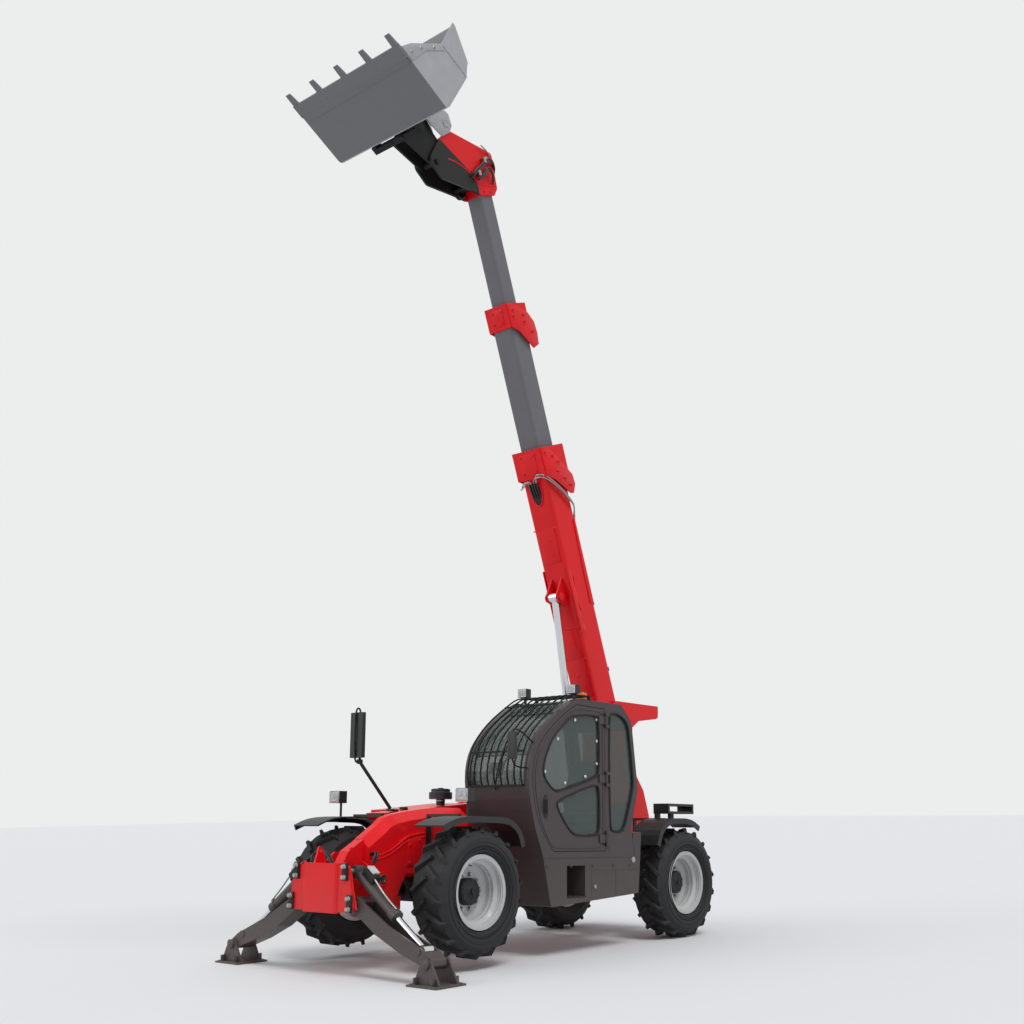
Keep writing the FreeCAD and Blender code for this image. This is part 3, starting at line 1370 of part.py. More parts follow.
def copy_of_box(name, source, placement):
    doc.recompute()
    return copy_of(name, source, placement)


def skirt():
    """Side body under the cab: box with a step recess, from the sill to its slanted ends."""
    outer = dim("cab_outer")
    low = dim("skirt_bottom")
    rise = dim("skirt_rise")
    sill = dim("cab_floor") - dim("seat_gap")
    outline = ((640, low), (760, sill), (-735, sill), (-700, 1040), (-700, 1105), (-850, 1120), (-790, low + rise))
    body = prism("skirt_block", "XZ", outline, dim("frame_half") + 10, outer, rounds=((30, [0, 6]),))
    tools = [
        block("step_hole", (110, outer - 220, 480), (400, outer + 10, 790)),
        block("skirt_void", (-700, dim("frame_half") + 40, low - 10), (50, outer - 260, 840)),
        block("skirt_slot", (-500, outer - 190, low + rise + 40), (60, outer - 30, 840)),
    ]
    hangers = [block(f"skirt_hanger_{n}", (x, dim("frame_half") + dim("seat_gap"), 700), (x + 60, dim("frame_half") + 20, 830)) for n, x in enumerate((-600, 500))]
    node("skirt", fuse("skirt_whole", [cut("skirt_cut", body, tools)] + hangers))


# Engine side

def engine_side():
    inner, outer, top = dim("cowl_inner"), dim("cowl_outer"), dim("cowl_top")
    bottom, wall, split = dim("cowl_bottom"), dim("cowl_wall"), dim("hood_split")
    rail = -dim("frame_half")
    engine = block("engine_body", (-560, -900, 640), (520, -430, 1240))
    mounts_at = (-480, 380)
    mounts = [block(f"engine_mount_{n}", (x, -432, 700), (x + 90, rail - 0.3, 780)) for n, x in enumerate(mounts_at)]
    node("engine_block", fuse("engine_whole", [engine] + mounts))
    side = ((900, bottom), (900, 1215), (1560, 1215), (1600, 1285), (300, top + 10), (-860, top + 10), (-860, bottom))
    shell = prism("cowl_block", "XZ", side, split, inner)
    room = prism(
        "cowl_room",
        "XZ",
        ((895, bottom - 5), (895, 1220), (1556, 1220), (1590, 1281), (300, top + 5), (-855, top + 5), (-855, bottom - 5)),
        split - 5,
        inner - wall,
    )
    ports = [block(f"cowl_port_{n}", (x - 10, inner - wall - 5, 690), (x + 100, inner + 5, 790)) for n, x in enumerate(mounts_at)]
    brackets = [block(f"cowl_bracket_{n}", (x, inner - 2, 700), (x + 50, rail - 0.3, 820)) for n, x in enumerate((-700, 700))]
    hinges = []
    for n, x in enumerate((-600, 150)):
        for m, a in enumerate((x - 30, x + 90.3)):
            hinges.append(bar(f"cowl_knuckle_{n}_{m}", "x", (split - 3, top + 18), a, a + 29.7, 7))
            hinges.append(block(f"cowl_leaf_{n}_{m}", (a, split - 3, top + 9), (a + 29.7, split + 40, top + 24)))
        hinges.append(bar(f"cowl_hinge_pin_{n}", "x", (split - 3, top + 18), x - 25, x + 115, 3))
    node("cowl", fuse("cowl_whole", [cut("cowl_shell", shell, [room] + ports)] + brackets + hinges))
    gap = 6
    lid = prism("hood_block", "XZ", ((894, bottom + 60), (894, 1290), (1190, 1290), (1190, 1325), (300, top + 10), (-860, top + 10), (-860, bottom + 60)), outer, split - gap)
    lid_room = prism("hood_room", "XZ", ((889, bottom + 50), (889, 1295), (1185, 1295), (1185, 1321), (300, top + 5), (-855, top + 5), (-855, bottom + 50)), outer + wall, split)
    slots = [block(f"hood_slot_{n}", (-500 + 130 * n, outer - 5, 900), (-440 + 130 * n, outer + wall + 5, 1200)) for n in range(7)]
    lid_parts = [cut("hood_shell", lid, [lid_room] + slots)]
    axis_at = (split - 3, top + 18)
    for n, x in enumerate((-600, 150)):
        lid_parts.append(block(f"hood_leaf_{n}", (x, split - gap - 60, top + 9), (x + 90, split - gap + 2, top + 16)))
        lid_parts.append(bar(f"hood_knuckle_{n}", "x", axis_at, x, x + 90, 7))
    bores = [bar(f"hood_bore_{n}", "x", axis_at, x - 5, x + 95, 3 + gap / 100) for n, x in enumerate((-600, 150))]
    node("hood", cut("hood_whole", fuse("hood_solid", lid_parts), bores))
    cleaner = [
        bar("cleaner_neck", "z", (690, -480), top - 22.9, top + 50, 46),
        bar("cleaner_bowl", "z", (690, -480), top + 48, top + 112, 122),
        bar("cleaner_cap", "z", (690, -480), top + 110, top + 138, 98),
    ]
    node("air_cleaner", fuse("air_cleaner_whole", cleaner))


# Fenders, lamps, mirror, rear bracket

# offset from the hub, away from the cab, and height above the hub's centre
FENDERS = {
    "front": ((-560, 400), (-500, 540), (-350, 638), (-80, 655), (160, 655), (360, 630), (520, 572)),
    "rear": ((-560, 400), (-490, 550), (-330, 655), (-60, 674), (120, 650), (250, 590)),
}


def fender_route(label):
    """The underside of a fender, along the chassis."""
    along = 1 if label == "front" else -1
    x0 = along * float(FRONT_AXLE)
    return smooth([(x0 + along * u, float(dim("tyre_radius")) + v) for u, v in FENDERS[label]], 3)


def on_fender(label, low, high):
    """Height at which a piece between low and high along the chassis rests on a fender."""
    route = fender_route(label)
    peaks = [height_on(route, low), height_on(route, high)]
    peaks += [v for u, v in route if low < u < high]
    return max(peaks) + dim("fender_plate") + 1


def fenders():
    inner, outer, skin = dim("fender_inner"), dim("fender_outer"), dim("fender_plate")
    radius = dim("fender_radius")
    hub = dim("tyre_radius")
    for label, along in (("front", 1), ("rear", -1)):
        pieces = []
        x0 = along * dim("wheelbase") / 2
        route = fender_route(label)
        outline = strip(route, skin * along)
        lip = strip(route, dim("fender_lip") * -along)
        for side, word in ((1, "left"), (-1, "right")):
            a, b = (inner, outer) if side > 0 else (-outer, -inner)
            pieces.append(prism(f"fender_{label}_{word}", "XZ", outline, a, b))
            edge = (b - 16, b) if side > 0 else (a, a + 16)
            pieces.append(prism(f"fender_lip_{label}_{word}", "XZ", lip, *edge))
            near = dim("frame_half") + dim("seat_gap")
            arm_y = (near, inner + 60) if side > 0 else (-inner - 60, -near)
            z = hub + radius + skin
            pieces.append(block(f"fender_arm_{label}_{word}", (x0 - 25, arm_y[0], z - 3), (x0 + 25, arm_y[1], z + 24)))
            post = (near, near + 20) if side > 0 else (-near - 20, -near)
            pieces.append(block(f"fender_post_{label}_{word}", (x0 - 25, post[0], dim("rail_top") - 60), (x0 + 25, post[1], z + 24)))
        node(f"fenders_{label}", fuse(f"fenders_whole_{label}", pieces))


def lamps():
    x = dim("wheelbase") / 2 + 95
    top = on_fender("front", float(x) - 52, float(x) - 28)
    parts = []
    for side in (-1, 1):
        y = side * 880
        parts.append(bar(f"lamp_stalk_{side + 1}", "z", (x - 40, y), top, top + 190, 12))
        parts.append(block(f"lamp_case_{side + 1}", (x - 50, y - 75, top + 130), (x + 40, y + 75, top + 250)))
    mid = (dim("cab_outer") + dim("cab_inner")) / 2
    for side in (-1, 1):
        y = mid + side * 330
        parts.append(block(f"work_stalk_{side + 1}", (150, y - 10, dim("cab_roof") + 0.3), (175, y + 10, 2510)))
        parts.append(block(f"work_case_{side + 1}", (140, y - 60, 2500), (215, y + 60, 2590)))
    parts.append(bar("beacon_base", "z", (-140, 750), dim("cab_roof") + 0.3, 2460, 60))
    parts.append(bar("beacon_dome", "z", (-140, 750), 2458, 2545, 48))
    node("lamps", group("lamps_whole", [fuse("lamps_solid", parts)]))


def mirror():
    base = (1460, -400, 1314)
    joint = (1900, -400, 1775)
    parts = [
        strut("mast", base, joint, 17),
        strut("mast_top", joint, (joint[0], joint[1], 2120), 13),
        bar("mast_ball", "y", (joint[0], joint[2]), joint[1] - 22, joint[1] + 22, 24),
        block("mirror_case", (joint[0] + 10, joint[1] - 85, 1810), (joint[0] + 55, joint[1] + 85, 2250)),
        block("mast_foot", (base[0] - 60, base[1] - 40, 1304.6), (base[0] + 40, base[1] + 40, 1325)),
    ]
    node("mirror", fuse("mirror_whole", parts))


def rear_bracket():
    """Lamp and plate carrier over the rear left fender."""
    hub, radius = dim("tyre_radius"), dim("fender_radius")
    top = hub + radius + dim("fender_plate")
    parts = [
        cut(
            "carrier_ring",
            block("carrier_case", (-1980, 700, top + 70), (-1480, 900, top + 180)),
            [block("carrier_hole", (-1950, 690, top + 96), (-1510, 910, top + 154))],
        ),
        block("carrier_arm", (-1500, 740, on_fender("rear", -1500, -1440)), (-1440, 780, top + 100)),
        block("carrier_arm_b", (-1760, 740, on_fender("rear", -1760, -1700)), (-1700, 780, top + 100)),
    ]
    node("rear_carrier", fuse("rear_carrier_whole", parts))


def build():
    frame()
    rear_tower()
    axles()
    knuckles()
    wheels()
    boom_sections()
    lift_ram()
    tele_ram()
    hitch()
    tilt_ram()
    bucket()
    stabilisers()
    cab()
    cab_glass()
    cab_door()
    guard()
    cab_inside()
    skirt()
    engine_side()
    fenders()
    lamps()
    mirror()
    rear_bracket()


def place_and_check():
    """Sets each sub-part on its frame, with the whole centred over the origin, and checks it."""
    doc.recompute()
    for label, obj, placement in NODES:
        obj.Placement = placement
    doc.recompute()
    whole = FreeCAD.BoundBox()
    for label, obj, placement in NODES:
        whole.add(obj.Shape.BoundBox)
    shift = Vector(-whole.Center.x, 0, 0)
    for label, obj, placement in NODES:
        obj.Placement = Placement(placement.Base + shift, placement.Rotation)
    doc.recompute()
    bad = [obj.Name for obj in doc.Objects if "Invalid" in obj.State or "Error" in obj.State]
    bad += [label for label, obj, _ in NODES if obj.Shape.isNull() or not obj.Shape.isValid()]
    if bad:
        raise RuntimeError("not built: " + ", ".join(bad))
    return shift


build()
SHIFT = place_and_check()
os.makedirs("parts", exist_ok=True)
for label, obj, placement in NODES:
    obj.Shape.exportStep(os.path.join("parts", label + ".step"))
print(f"{len(NODES)} sub-parts, shifted {SHIFT.x:.3f} along X")
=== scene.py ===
import json
import math

import bpy
from bpy.props import FloatProperty, FloatVectorProperty, IntProperty, PointerProperty
from bpy.types import Operator, Panel, PropertyGroup
from mathutils import Matrix, Vector


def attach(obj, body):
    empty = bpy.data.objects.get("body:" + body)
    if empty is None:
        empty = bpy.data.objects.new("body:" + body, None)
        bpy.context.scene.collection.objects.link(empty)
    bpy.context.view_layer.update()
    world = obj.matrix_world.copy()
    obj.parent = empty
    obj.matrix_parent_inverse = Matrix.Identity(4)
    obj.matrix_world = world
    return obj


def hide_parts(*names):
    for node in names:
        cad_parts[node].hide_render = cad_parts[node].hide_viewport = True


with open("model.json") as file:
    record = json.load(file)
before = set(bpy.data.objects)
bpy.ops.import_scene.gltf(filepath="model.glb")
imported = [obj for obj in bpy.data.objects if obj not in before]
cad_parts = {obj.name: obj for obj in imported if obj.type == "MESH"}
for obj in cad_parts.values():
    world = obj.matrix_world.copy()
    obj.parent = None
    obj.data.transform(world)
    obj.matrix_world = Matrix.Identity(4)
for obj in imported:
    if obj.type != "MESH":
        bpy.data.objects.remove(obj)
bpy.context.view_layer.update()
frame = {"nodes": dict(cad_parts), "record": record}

bl_info = {
    "name": "Telehandler",
    "version": (1, 0, 0),
    "blender": (4, 5, 0),
    "location": "3D View > Sidebar > Telehandler",
    "description": "Dresses the telehandler's solids with finishes and small parts",
    "category": "Object",
}

CORNERS = ("front_left", "front_right", "rear_left", "rear_right")
SIDES = ((1, "left"), (-1, "right"))


# Places: the level chassis, the boom and the bucket, each with its own axes, in metres

def shifted(x, y, z):
    return Matrix.Translation((x, y, z))


def tipped(degrees):
    """Nose up by that angle."""
    return Matrix.Rotation(math.radians(-degrees), 4, "Y")


WHEELBASE, TRACK, TYRE_RADIUS = 3.3, 1.67, 0.58
FRONT_LIFT = 0.1
REAR_HUB = (-WHEELBASE / 2, 0.0, TYRE_RADIUS)
STANCE_SLOPE = math.degrees(math.asin(FRONT_LIFT / WHEELBASE))
RECENTRED = -0.100547
PIVOT_X, BOOM_Y, PIVOT_Z = -1.748, -0.1, 1.87
CHASSIS = shifted(RECENTRED, 0, 0) @ shifted(*REAR_HUB) @ tipped(STANCE_SLOPE) @ shifted(*[-v for v in REAR_HUB])
BOOM = CHASSIS @ shifted(PIVOT_X, BOOM_Y, PIVOT_Z) @ tipped(69.5)
BUCKET = CHASSIS @ shifted(1.98, BOOM_Y, 8.3) @ tipped(28.6)
PLACE_OF = {
    "chassis": CHASSIS,
    "cab_door": CHASSIS,
    "engine_hood": CHASSIS,
    "outer_boom": BOOM,
    "middle_boom": BOOM,
    "inner_boom": BOOM,
    "tool": BUCKET,
}


# Colours

def linear(hex_colour):
    """An sRGB hex colour as linear values with alpha."""
    values = [int(hex_colour[i:i + 2], 16) / 255 for i in (1, 3, 5)]
    return [v / 12.92 if v <= 0.04045 else ((v + 0.055) / 1.055) ** 2.4 for v in values] + [1.0]


def opaque(colour):
    return list(colour)[:3] + [1.0]


def paint_property(name, description, hex_colour):
    return FloatVectorProperty(
        name=name, description=description, subtype="COLOR", size=3, min=0, max=1, default=linear(hex_colour)[:3]
    )


class TelehandlerColours(PropertyGroup):
    """Colours of the machine's finishes."""

    frame_red: paint_property("Frame red", "Gloss paint on the frame, the boom's outer section and the head", "#d81018")
    cab_umber: paint_property("Cab umber", "Satin paint on the cab and the stabilisers", "#453d3e")
    boom_grey: paint_property("Boom grey", "Satin paint on the sliding boom sections", "#68676b")
    bucket_grey: paint_property("Bucket grey", "Paint on the bucket", "#a2a3a7")
    rim_silver: paint_property("Rim silver", "Paint on the wheel rims", "#c4c5c6")
    glass_green: paint_property("Glass tint", "Tint of the cab's glass", "#45534f")


class TelehandlerSizes(PropertyGroup):
    """Sizes of the fitted small parts."""

    nut_width: FloatProperty(name="Nut width", description="Width across a wheel nut", default=0.03, unit="LENGTH")
    hose_radius: FloatProperty(
        name="Hose radius", description="Half the thickness of a stabiliser hose", default=0.011, unit="LENGTH"
    )
    wheel_bolts: IntProperty(name="Wheel bolts", description="Bolts round each hub", default=10, min=4, max=16)


# Materials

def add_node(tree, kind, settings=None, **links):
    """Adds a node, gives its sockets and properties their settings, and links its inputs."""
    made = tree.nodes.new(kind)
    for key, value in (settings or {}).items():
        if key in made.inputs:
            made.inputs[key].default_value = value
        else:
            setattr(made, key, value)
    for key, source in links.items():
        numbered = key[0] == "i" and key[1:].isdigit()
        tree.links.new(source, made.inputs[int(key[1:]) if numbered else key])
    return made


def new_finish(name, **constants):
    """A material with its tree, its shader and its Object coordinates; constants go on the shader's sockets."""
    finish = bpy.data.materials.new(name)
    finish.use_nodes = True
    tree = finish.node_tree
    shader = tree.nodes["Principled BSDF"]
    for socket, value in constants.items():
        shader.inputs[socket.replace("_", " ")].default_value = value
    place = add_node(tree, "ShaderNodeTexCoord").outputs["Object"]
    return finish, tree, shader, place


def noise(tree, place, scale, detail, **more):
    settings = {"Scale": scale, "Detail": detail, **more}
    return add_node(tree, "ShaderNodeTexNoise", settings, Vector=place).outputs["Fac"]


def ramp(tree, factor, stops):
    """A colour ramp over (position, colour) stops."""
    made = add_node(tree, "ShaderNodeValToRGB", i0=factor)
    elements = made.color_ramp.elements
    while len(elements) < len(stops):
        elements.new(0.5)
    for element, (position, colour) in zip(elements, stops):
        element.position = position
        element.color = colour
    return made.outputs["Color"]


def shade(colour, factor):
    """A lighter or darker version of a linear colour."""
    return [min(1.0, v * factor) for v in colour[:3]] + [1.0]


def tint(tree, shader, source):
    tree.links.new(source, shader.inputs["Base Color"])


def rippled(tree, shader, height, strength, distance):
    """Bump over the shader: distance is the ripples' height in metres."""
    bump = add_node(tree, "ShaderNodeBump", {"Strength": strength, "Distance": distance}, Height=height)
    tree.links.new(bump.outputs["Normal"], shader.inputs["Normal"])


def uneven_gloss(tree, shader, factor, low, high):
    """Roughness that drifts between two values."""
    gloss = add_node(tree, "ShaderNodeMapRange", {"To Min": low, "To Max": high}, Value=factor)
    tree.links.new(gloss.outputs["Result"], shader.inputs["Roughness"])


def masked_coats(tree, place, body, axes, zones):
    """Lays each zone's colour over a body colour, where all of the zone's tests hold.

    A test is a direction in the given axes, GREATER_THAN or LESS_THAN, and the distance along it.
    """
    for second, tests in zones:
        mask = None
        for direction, sense, limit in tests:
            axis = axes.to_3x3() @ Vector(direction)
            ahead = add_node(tree, "ShaderNodeVectorMath", {"operation": "DOT_PRODUCT"}, i0=place)
            ahead.inputs[1].default_value = axis
            test = add_node(tree, "ShaderNodeMath", {"operation": sense}, i0=ahead.outputs["Value"])
            test.inputs[1].default_value = limit + axes.translation.dot(axis)
            held = test.outputs[0]
            if mask:
                held = add_node(tree, "ShaderNodeMath", {"operation": "MULTIPLY"}, i0=mask, i1=held).outputs[0]
            mask = held
        mixed = add_node(tree, "ShaderNodeMix", {"data_type": "RGBA"}, i0=mask, i6=body)
        mixed.inputs[7].default_value = opaque(second)
        body = mixed.outputs[2]
    return body


def sprayed_paint(name, colour, roughness, coat, dust_share=0.16, orange_peel=0.02, zones=()):
    """Two-pack paint sprayed on plate: an even colour, a faint orange peel, and road dust low down.

    zones: masked coats on the boom, as masked_coats takes them.
    """
    finish, tree, shader, place = new_finish(
        name, Coat_Weight=coat, Coat_Roughness=0.06, Specular_IOR_Level=0.2
    )
    colour = opaque(colour)
    cloud = noise(tree, place, 2.2, 4.0)
    body = ramp(tree, cloud, [(0.3, shade(colour, 0.94)), (0.7, shade(colour, 1.05))])
    body = masked_coats(tree, place, body, BOOM, zones)
    # dust thins out from the ground to 1 m up
    speck = noise(tree, place, 38.0, 6.0, Roughness=0.7)
    height = add_node(tree, "ShaderNodeSeparateXYZ", i0=place).outputs["Z"]
    low = add_node(
        tree, "ShaderNodeMapRange", {"From Min": 1.0, "From Max": 0.1, "To Min": 0.0, "To Max": 1.0}, Value=height
    )
    film = add_node(tree, "ShaderNodeMath", {"operation": "MULTIPLY"}, i0=low.outputs["Result"], i1=speck).outputs[0]
    share = add_node(tree, "ShaderNodeMath", {"operation": "MULTIPLY"}, i1=film)
    share.inputs[0].default_value = dust_share * 2
    mixed = add_node(tree, "ShaderNodeMix", {"data_type": "RGBA"}, i0=share.outputs[0], i6=body)
    mixed.inputs[7].default_value = linear("#8a7f74")
    tint(tree, shader, mixed.outputs[2])
    uneven_gloss(tree, shader, cloud, roughness * 0.85, roughness * 1.25)
    # orange peel: ripples about 3 mm across
    rippled(tree, shader, noise(tree, place, 320.0, 1.0), orange_peel, 0.002)
    return finish


def worn_plate(name, colour):
    """Painted digging plate: scuffed, with streaks along the load's way, and painted shade darkening the floor's
    underside and the teeth.
    """
    finish, tree, shader, place = new_finish(name, Metallic=0.25)
    colour = opaque(colour)
    stretched = add_node(tree, "ShaderNodeMapping", {"Scale": (2.0, 14.0, 2.0)}, Vector=place).outputs[0]
    streak = noise(tree, stretched, 3.0, 8.0, Roughness=0.65)
    body = ramp(tree, streak, [(0.25, shade(colour, 0.88)), (0.55, colour), (0.8, shade(colour, 1.14))])
    # painted shade: the floor's underside and the teeth are painted darker, standing in for the shade that falls under
    # the bucket
    painted_underside_shade = (shade(colour, 0.42), [((0, 0, 1), "LESS_THAN", 0.014)])
    tint(tree, shader, masked_coats(tree, place, body, BUCKET, [painted_underside_shade]))
    uneven_gloss(tree, shader, streak, 0.42, 0.7)
    rippled(tree, shader, noise(tree, place, 90.0, 3.0), 0.12, 0.003)
    return finish


def cast_iron(name, hex_colour):
    """Sand-cast iron under thin paint: coarse grain about 4 mm across."""
    finish, tree, shader, place = new_finish(name, Roughness=0.6, Metallic=0.2)
    colour = linear(hex_colour)
    grain = noise(tree, place, 240.0, 4.0)
    tint(tree, shader, ramp(tree, grain, [(0.3, shade(colour, 0.75)), (0.7, shade(colour, 1.25))]))
    rippled(tree, shader, grain, 0.25, 0.002)
    return finish


def tyre_rubber(name):
    """Carbon-black tyre rubber: matt, with fine mould grain and a dusty bloom."""
    finish, tree, shader, place = new_finish(name)
    bloom = noise(tree, place, 9.0, 7.0, Roughness=0.7)
    stops = [(0.3, linear("#18181a")), (0.62, linear("#222224")), (0.85, linear("#3a3733"))]
    tint(tree, shader, ramp(tree, bloom, stops))
    uneven_gloss(tree, shader, bloom, 0.62, 0.85)
    rippled(tree, shader, noise(tree, place, 420.0, 2.0), 0.15, 0.001)
    return finish


def moulded_plastic(name, hex_colour, roughness=0.5):
    """Moulded polyethylene or ABS: a leathery grain about 2 mm across."""
    finish, tree, shader, place = new_finish(name, Roughness=roughness)
    colour = linear(hex_colour)
    cells = add_node(tree, "ShaderNodeTexVoronoi", {"Scale": 450.0}, Vector=place).outputs["Distance"]
    rippled(tree, shader, cells, 0.1, 0.001)
    fade = noise(tree, place, 5.0, 3.0)
    tint(tree, shader, ramp(tree, fade, [(0.3, shade(colour, 0.85)), (0.7, shade(colour, 1.2))]))
    return finish


def bright_metal(name, hex_colour, roughness, along=(1.0, 1.0, 60.0)):
    """Ground or plated steel, with fine marks round the rod."""
    finish, tree, shader, place = new_finish(name, Metallic=1.0)
    fine = add_node(tree, "ShaderNodeMapping", {"Scale": along}, Vector=place).outputs[0]
    marks = noise(tree, fine, 30.0, 3.0)
    uneven_gloss(tree, shader, marks, roughness * 0.8, roughness * 1.3)
    colour = linear(hex_colour)
    tint(tree, shader, ramp(tree, marks, [(0.3, shade(colour, 0.93)), (0.7, colour)]))
    return finish


def tinted_glass(name, colour):
    """Toughened cab glass: clear with a faint green tint."""
    finish, tree, shader, place = new_finish(
        name, Base_Color=opaque(colour), Alpha=0.52, IOR=1.5, Specular_IOR_Level=0.7
    )
    uneven_gloss(tree, shader, noise(tree, place, 3.0, 4.0), 0.02, 0.07)
    return finish


def lens(name, hex_colour, alpha=1.0):
    """Moulded acrylic lens with pressed flutes about 6 mm wide."""
    finish, tree, shader, place = new_finish(name, Base_Color=linear(hex_colour), Roughness=0.12, Alpha=alpha)
    settings = {"Scale": 26.0, "bands_direction": "Y"}
    flutes = add_node(tree, "ShaderNodeTexWave", settings, Vector=place).outputs["Fac"]
    rippled(tree, shader, flutes, 0.3, 0.002)
    return finish


def woven_cloth(name, hex_colour):
    """Flat-woven seat cloth, threads 2 mm apart."""
    finish, tree, shader, place = new_finish(name, Roughness=0.9, Sheen_Weight=0.3)
    weave = add_node(tree, "ShaderNodeTexWave", {"Scale": 80.0, "Distortion": 1.0}, Vector=place).outputs["Fac"]
    rippled(tree, shader, weave, 0.3, 0.001)
    colour = linear(hex_colour)
    tint(tree, shader, ramp(tree, weave, [(0.2, shade(colour, 0.7)), (0.8, shade(colour, 1.3))]))
    return finish


FINISHES = {}


def mix_finishes():
    """Every finish on the machine, by its name here."""
    colours = bpy.context.scene.telehandler_colours
    grey, red = colours.boom_grey, colours.frame_red
    # the tips of the sliding sections are red; the head's cheeks are black below a slanting line
    collar = (red, [((1, 0, 0), "GREATER_THAN", 5.205)])
    head = (red, [((1, 0, 0), "GREATER_THAN", 6.715)])
    cheek = (linear("#1d1d1e"), [((0, 0, 1), "LESS_THAN", -0.14), ((0.761, 0, 0.649), "LESS_THAN", 5.165)])
    FINISHES.update(
        red_paint=sprayed_paint("gloss_red_two_pack_paint", red, 0.36, 0.12),
        umber_paint=sprayed_paint("satin_umber_two_pack_paint", colours.cab_umber, 0.4, 0.15),
        boom_grey=sprayed_paint("satin_grey_two_pack_paint", grey, 0.42, 0.1, orange_peel=0.03),
        boom_mid=sprayed_paint("grey_section_red_collar", grey, 0.42, 0.1, zones=[collar]),
        boom_inner=sprayed_paint("grey_section_red_head", grey, 0.42, 0.1, zones=[head, cheek]),
        black_steel=sprayed_paint("satin_black_powder_coat", linear("#19191a"), 0.45, 0.0, orange_peel=0.06),
        # the bucket's paint also holds painted shade under its floor and teeth
        bucket_grey=worn_plate("scuffed_bucket_paint_painted_shade_below", colours.bucket_grey),
        engine_grey=cast_iron("painted_cast_iron_engine", "#4c4c4c"),
        axle_grey=cast_iron("black_painted_cast_iron", "#232324"),
        rim_silver=sprayed_paint("silver_baked_rim_enamel", colours.rim_silver, 0.34, 0.2, dust_share=0.3),
        black_plastic=moulded_plastic("grained_black_polyethylene", "#1a1a1b"),
        rubber_seal=moulded_plastic("extruded_black_rubber_seal", "#0f0f10", 0.7),
        hose_rubber=moulded_plastic("braid_covered_hydraulic_hose", "#131314", 0.45),
        chrome_rod=bright_metal("hard_chromed_rod", "#d8dadd", 0.1),
        pin_steel=bright_metal("ground_zinc_plated_steel", "#a5a6a4", 0.28),
        tyre_rubber=tyre_rubber("carbon_black_tyre_rubber"),
        window_glass=tinted_glass("green_toughened_glass", colours.glass_green),
        clear_lens=lens("clear_fluted_acrylic", "#dfe4e6", 0.4),
        amber_lens=lens("amber_fluted_acrylic", "#e07a10"),
        red_lens=lens("red_fluted_acrylic", "#a50d10"),
        mirror_face=bright_metal("silvered_mirror_glass", "#cfd6da", 0.03),
        reflector_bowl=bright_metal("vapour_plated_lamp_bowl", "#9a9ea2", 0.12, (1.0, 1.0, 1.0)),
        tinted_bowl=lens("smoked_polycarbonate_bowl", "#5b6f86"),
        seat_fabric=woven_cloth("grey_flat_woven_seat_cloth", "#26262a"),
    )


class TELEHANDLER_OT_finishes(Operator):
    """Mixes the finishes and gives each solid the one it needs"""

    bl_idname = "telehandler.finishes"
    bl_label = "Finishes"

    def execute(self, context):
        mix_finishes()
        slots = {part["node"]: part["material_slot"] for part in frame["record"]["subparts"]}
        for name, node in frame["nodes"].items():
            node.data.materials.clear()
            node.data.materials.append(FINISHES.get(name) or FINISHES[slots[name]])
        return {"FINISHED"}


# Modelling tools

EDGE_ANGLE, ROUND_ANGLE = 35, 60


def everything(centre, normal):
    return True


def facing(axis, sense=1):
    """Picks the faces that look along an axis."""
    return lambda centre, normal: normal["xyz".index(axis)] * sense > 0.9


def above(height):
    """Picks the faces that look up from higher than that."""
    return lambda centre, normal: normal.z > 0.9 and centre.z > height


def clear_selection():
    if bpy.context.mode != "OBJECT":
        bpy.ops.object.mode_set(mode="OBJECT")
    bpy.ops.object.select_all(action="DESELECT")


def hold(piece):
    """Makes one piece the selected and active one."""
    clear_selection()
    piece.select_set(True)
    bpy.context.view_layer.objects.active = piece
    return piece


def named(name):
    piece = bpy.context.active_object
    piece.name = name
    return piece


def pick(piece, test):
    """Selects the faces that pass a test of centre and normal, in edit mode."""
    hold(piece)
    mesh = piece.data
    for part in (mesh.vertices, mesh.edges, mesh.polygons):
        part.foreach_set("select", [False] * len(part))
    for face in mesh.polygons:
        face.select = bool(test(face.center, face.normal))
    bpy.ops.object.mode_set(mode="EDIT")
    bpy.ops.mesh.select_mode(type="FACE")


def done():
    bpy.ops.object.mode_set(mode="OBJECT")


def widen(piece, test, factors):
    """Scales the picked faces about their middle."""
    pick(piece, test)
    bpy.ops.transform.resize(value=factors)
    done()
    return piece


def block(name, low, high):
    """A cube primitive stretched between two corners."""
    clear_selection()
    bpy.ops.mesh.primitive_cube_add(size=1, location=[(a + b) / 2 for a, b in zip(low, high)])
    piece = named(name)
    piece.scale = [abs(b - a) for a, b in zip(low, high)]
    bpy.ops.object.transform_apply(location=True, rotation=True, scale=True)
    return piece


def drum(name, start, end, radius, sides=24):
    """A cylinder primitive from one point to another."""
    clear_selection()
    run = Vector(end) - Vector(start)
    turn = run.to_track_quat("Z", "Y").to_euler()
    middle = (Vector(start) + Vector(end)) / 2
    bpy.ops.mesh.primitive_cylinder_add(vertices=sides, radius=radius, depth=run.length, location=middle, rotation=turn)
    piece = named(name)
    bpy.ops.object.transform_apply(location=True, rotation=True, scale=True)
    return piece


def press(piece, test, rim, push=None):
    """Insets the faces that pass the test, then extrudes them by a vector."""
    pick(piece, test)
    bpy.ops.mesh.inset(thickness=rim)
    if push:
        bpy.ops.mesh.extrude_region_move(TRANSFORM_OT_translate={"value": push})
    done()
    return piece


def soften(piece, width, segments=2, angle=EDGE_ANGLE):
    """Rounds the edges sharper than an angle."""
    hold(piece)
    made = piece.modifiers.new("edges", "BEVEL")
    made.width = width
    made.segments = segments
    made.limit_method = "ANGLE"
    made.angle_limit = math.radians(angle)
    bpy.ops.object.modifier_apply(modifier=made.name)
    return piece


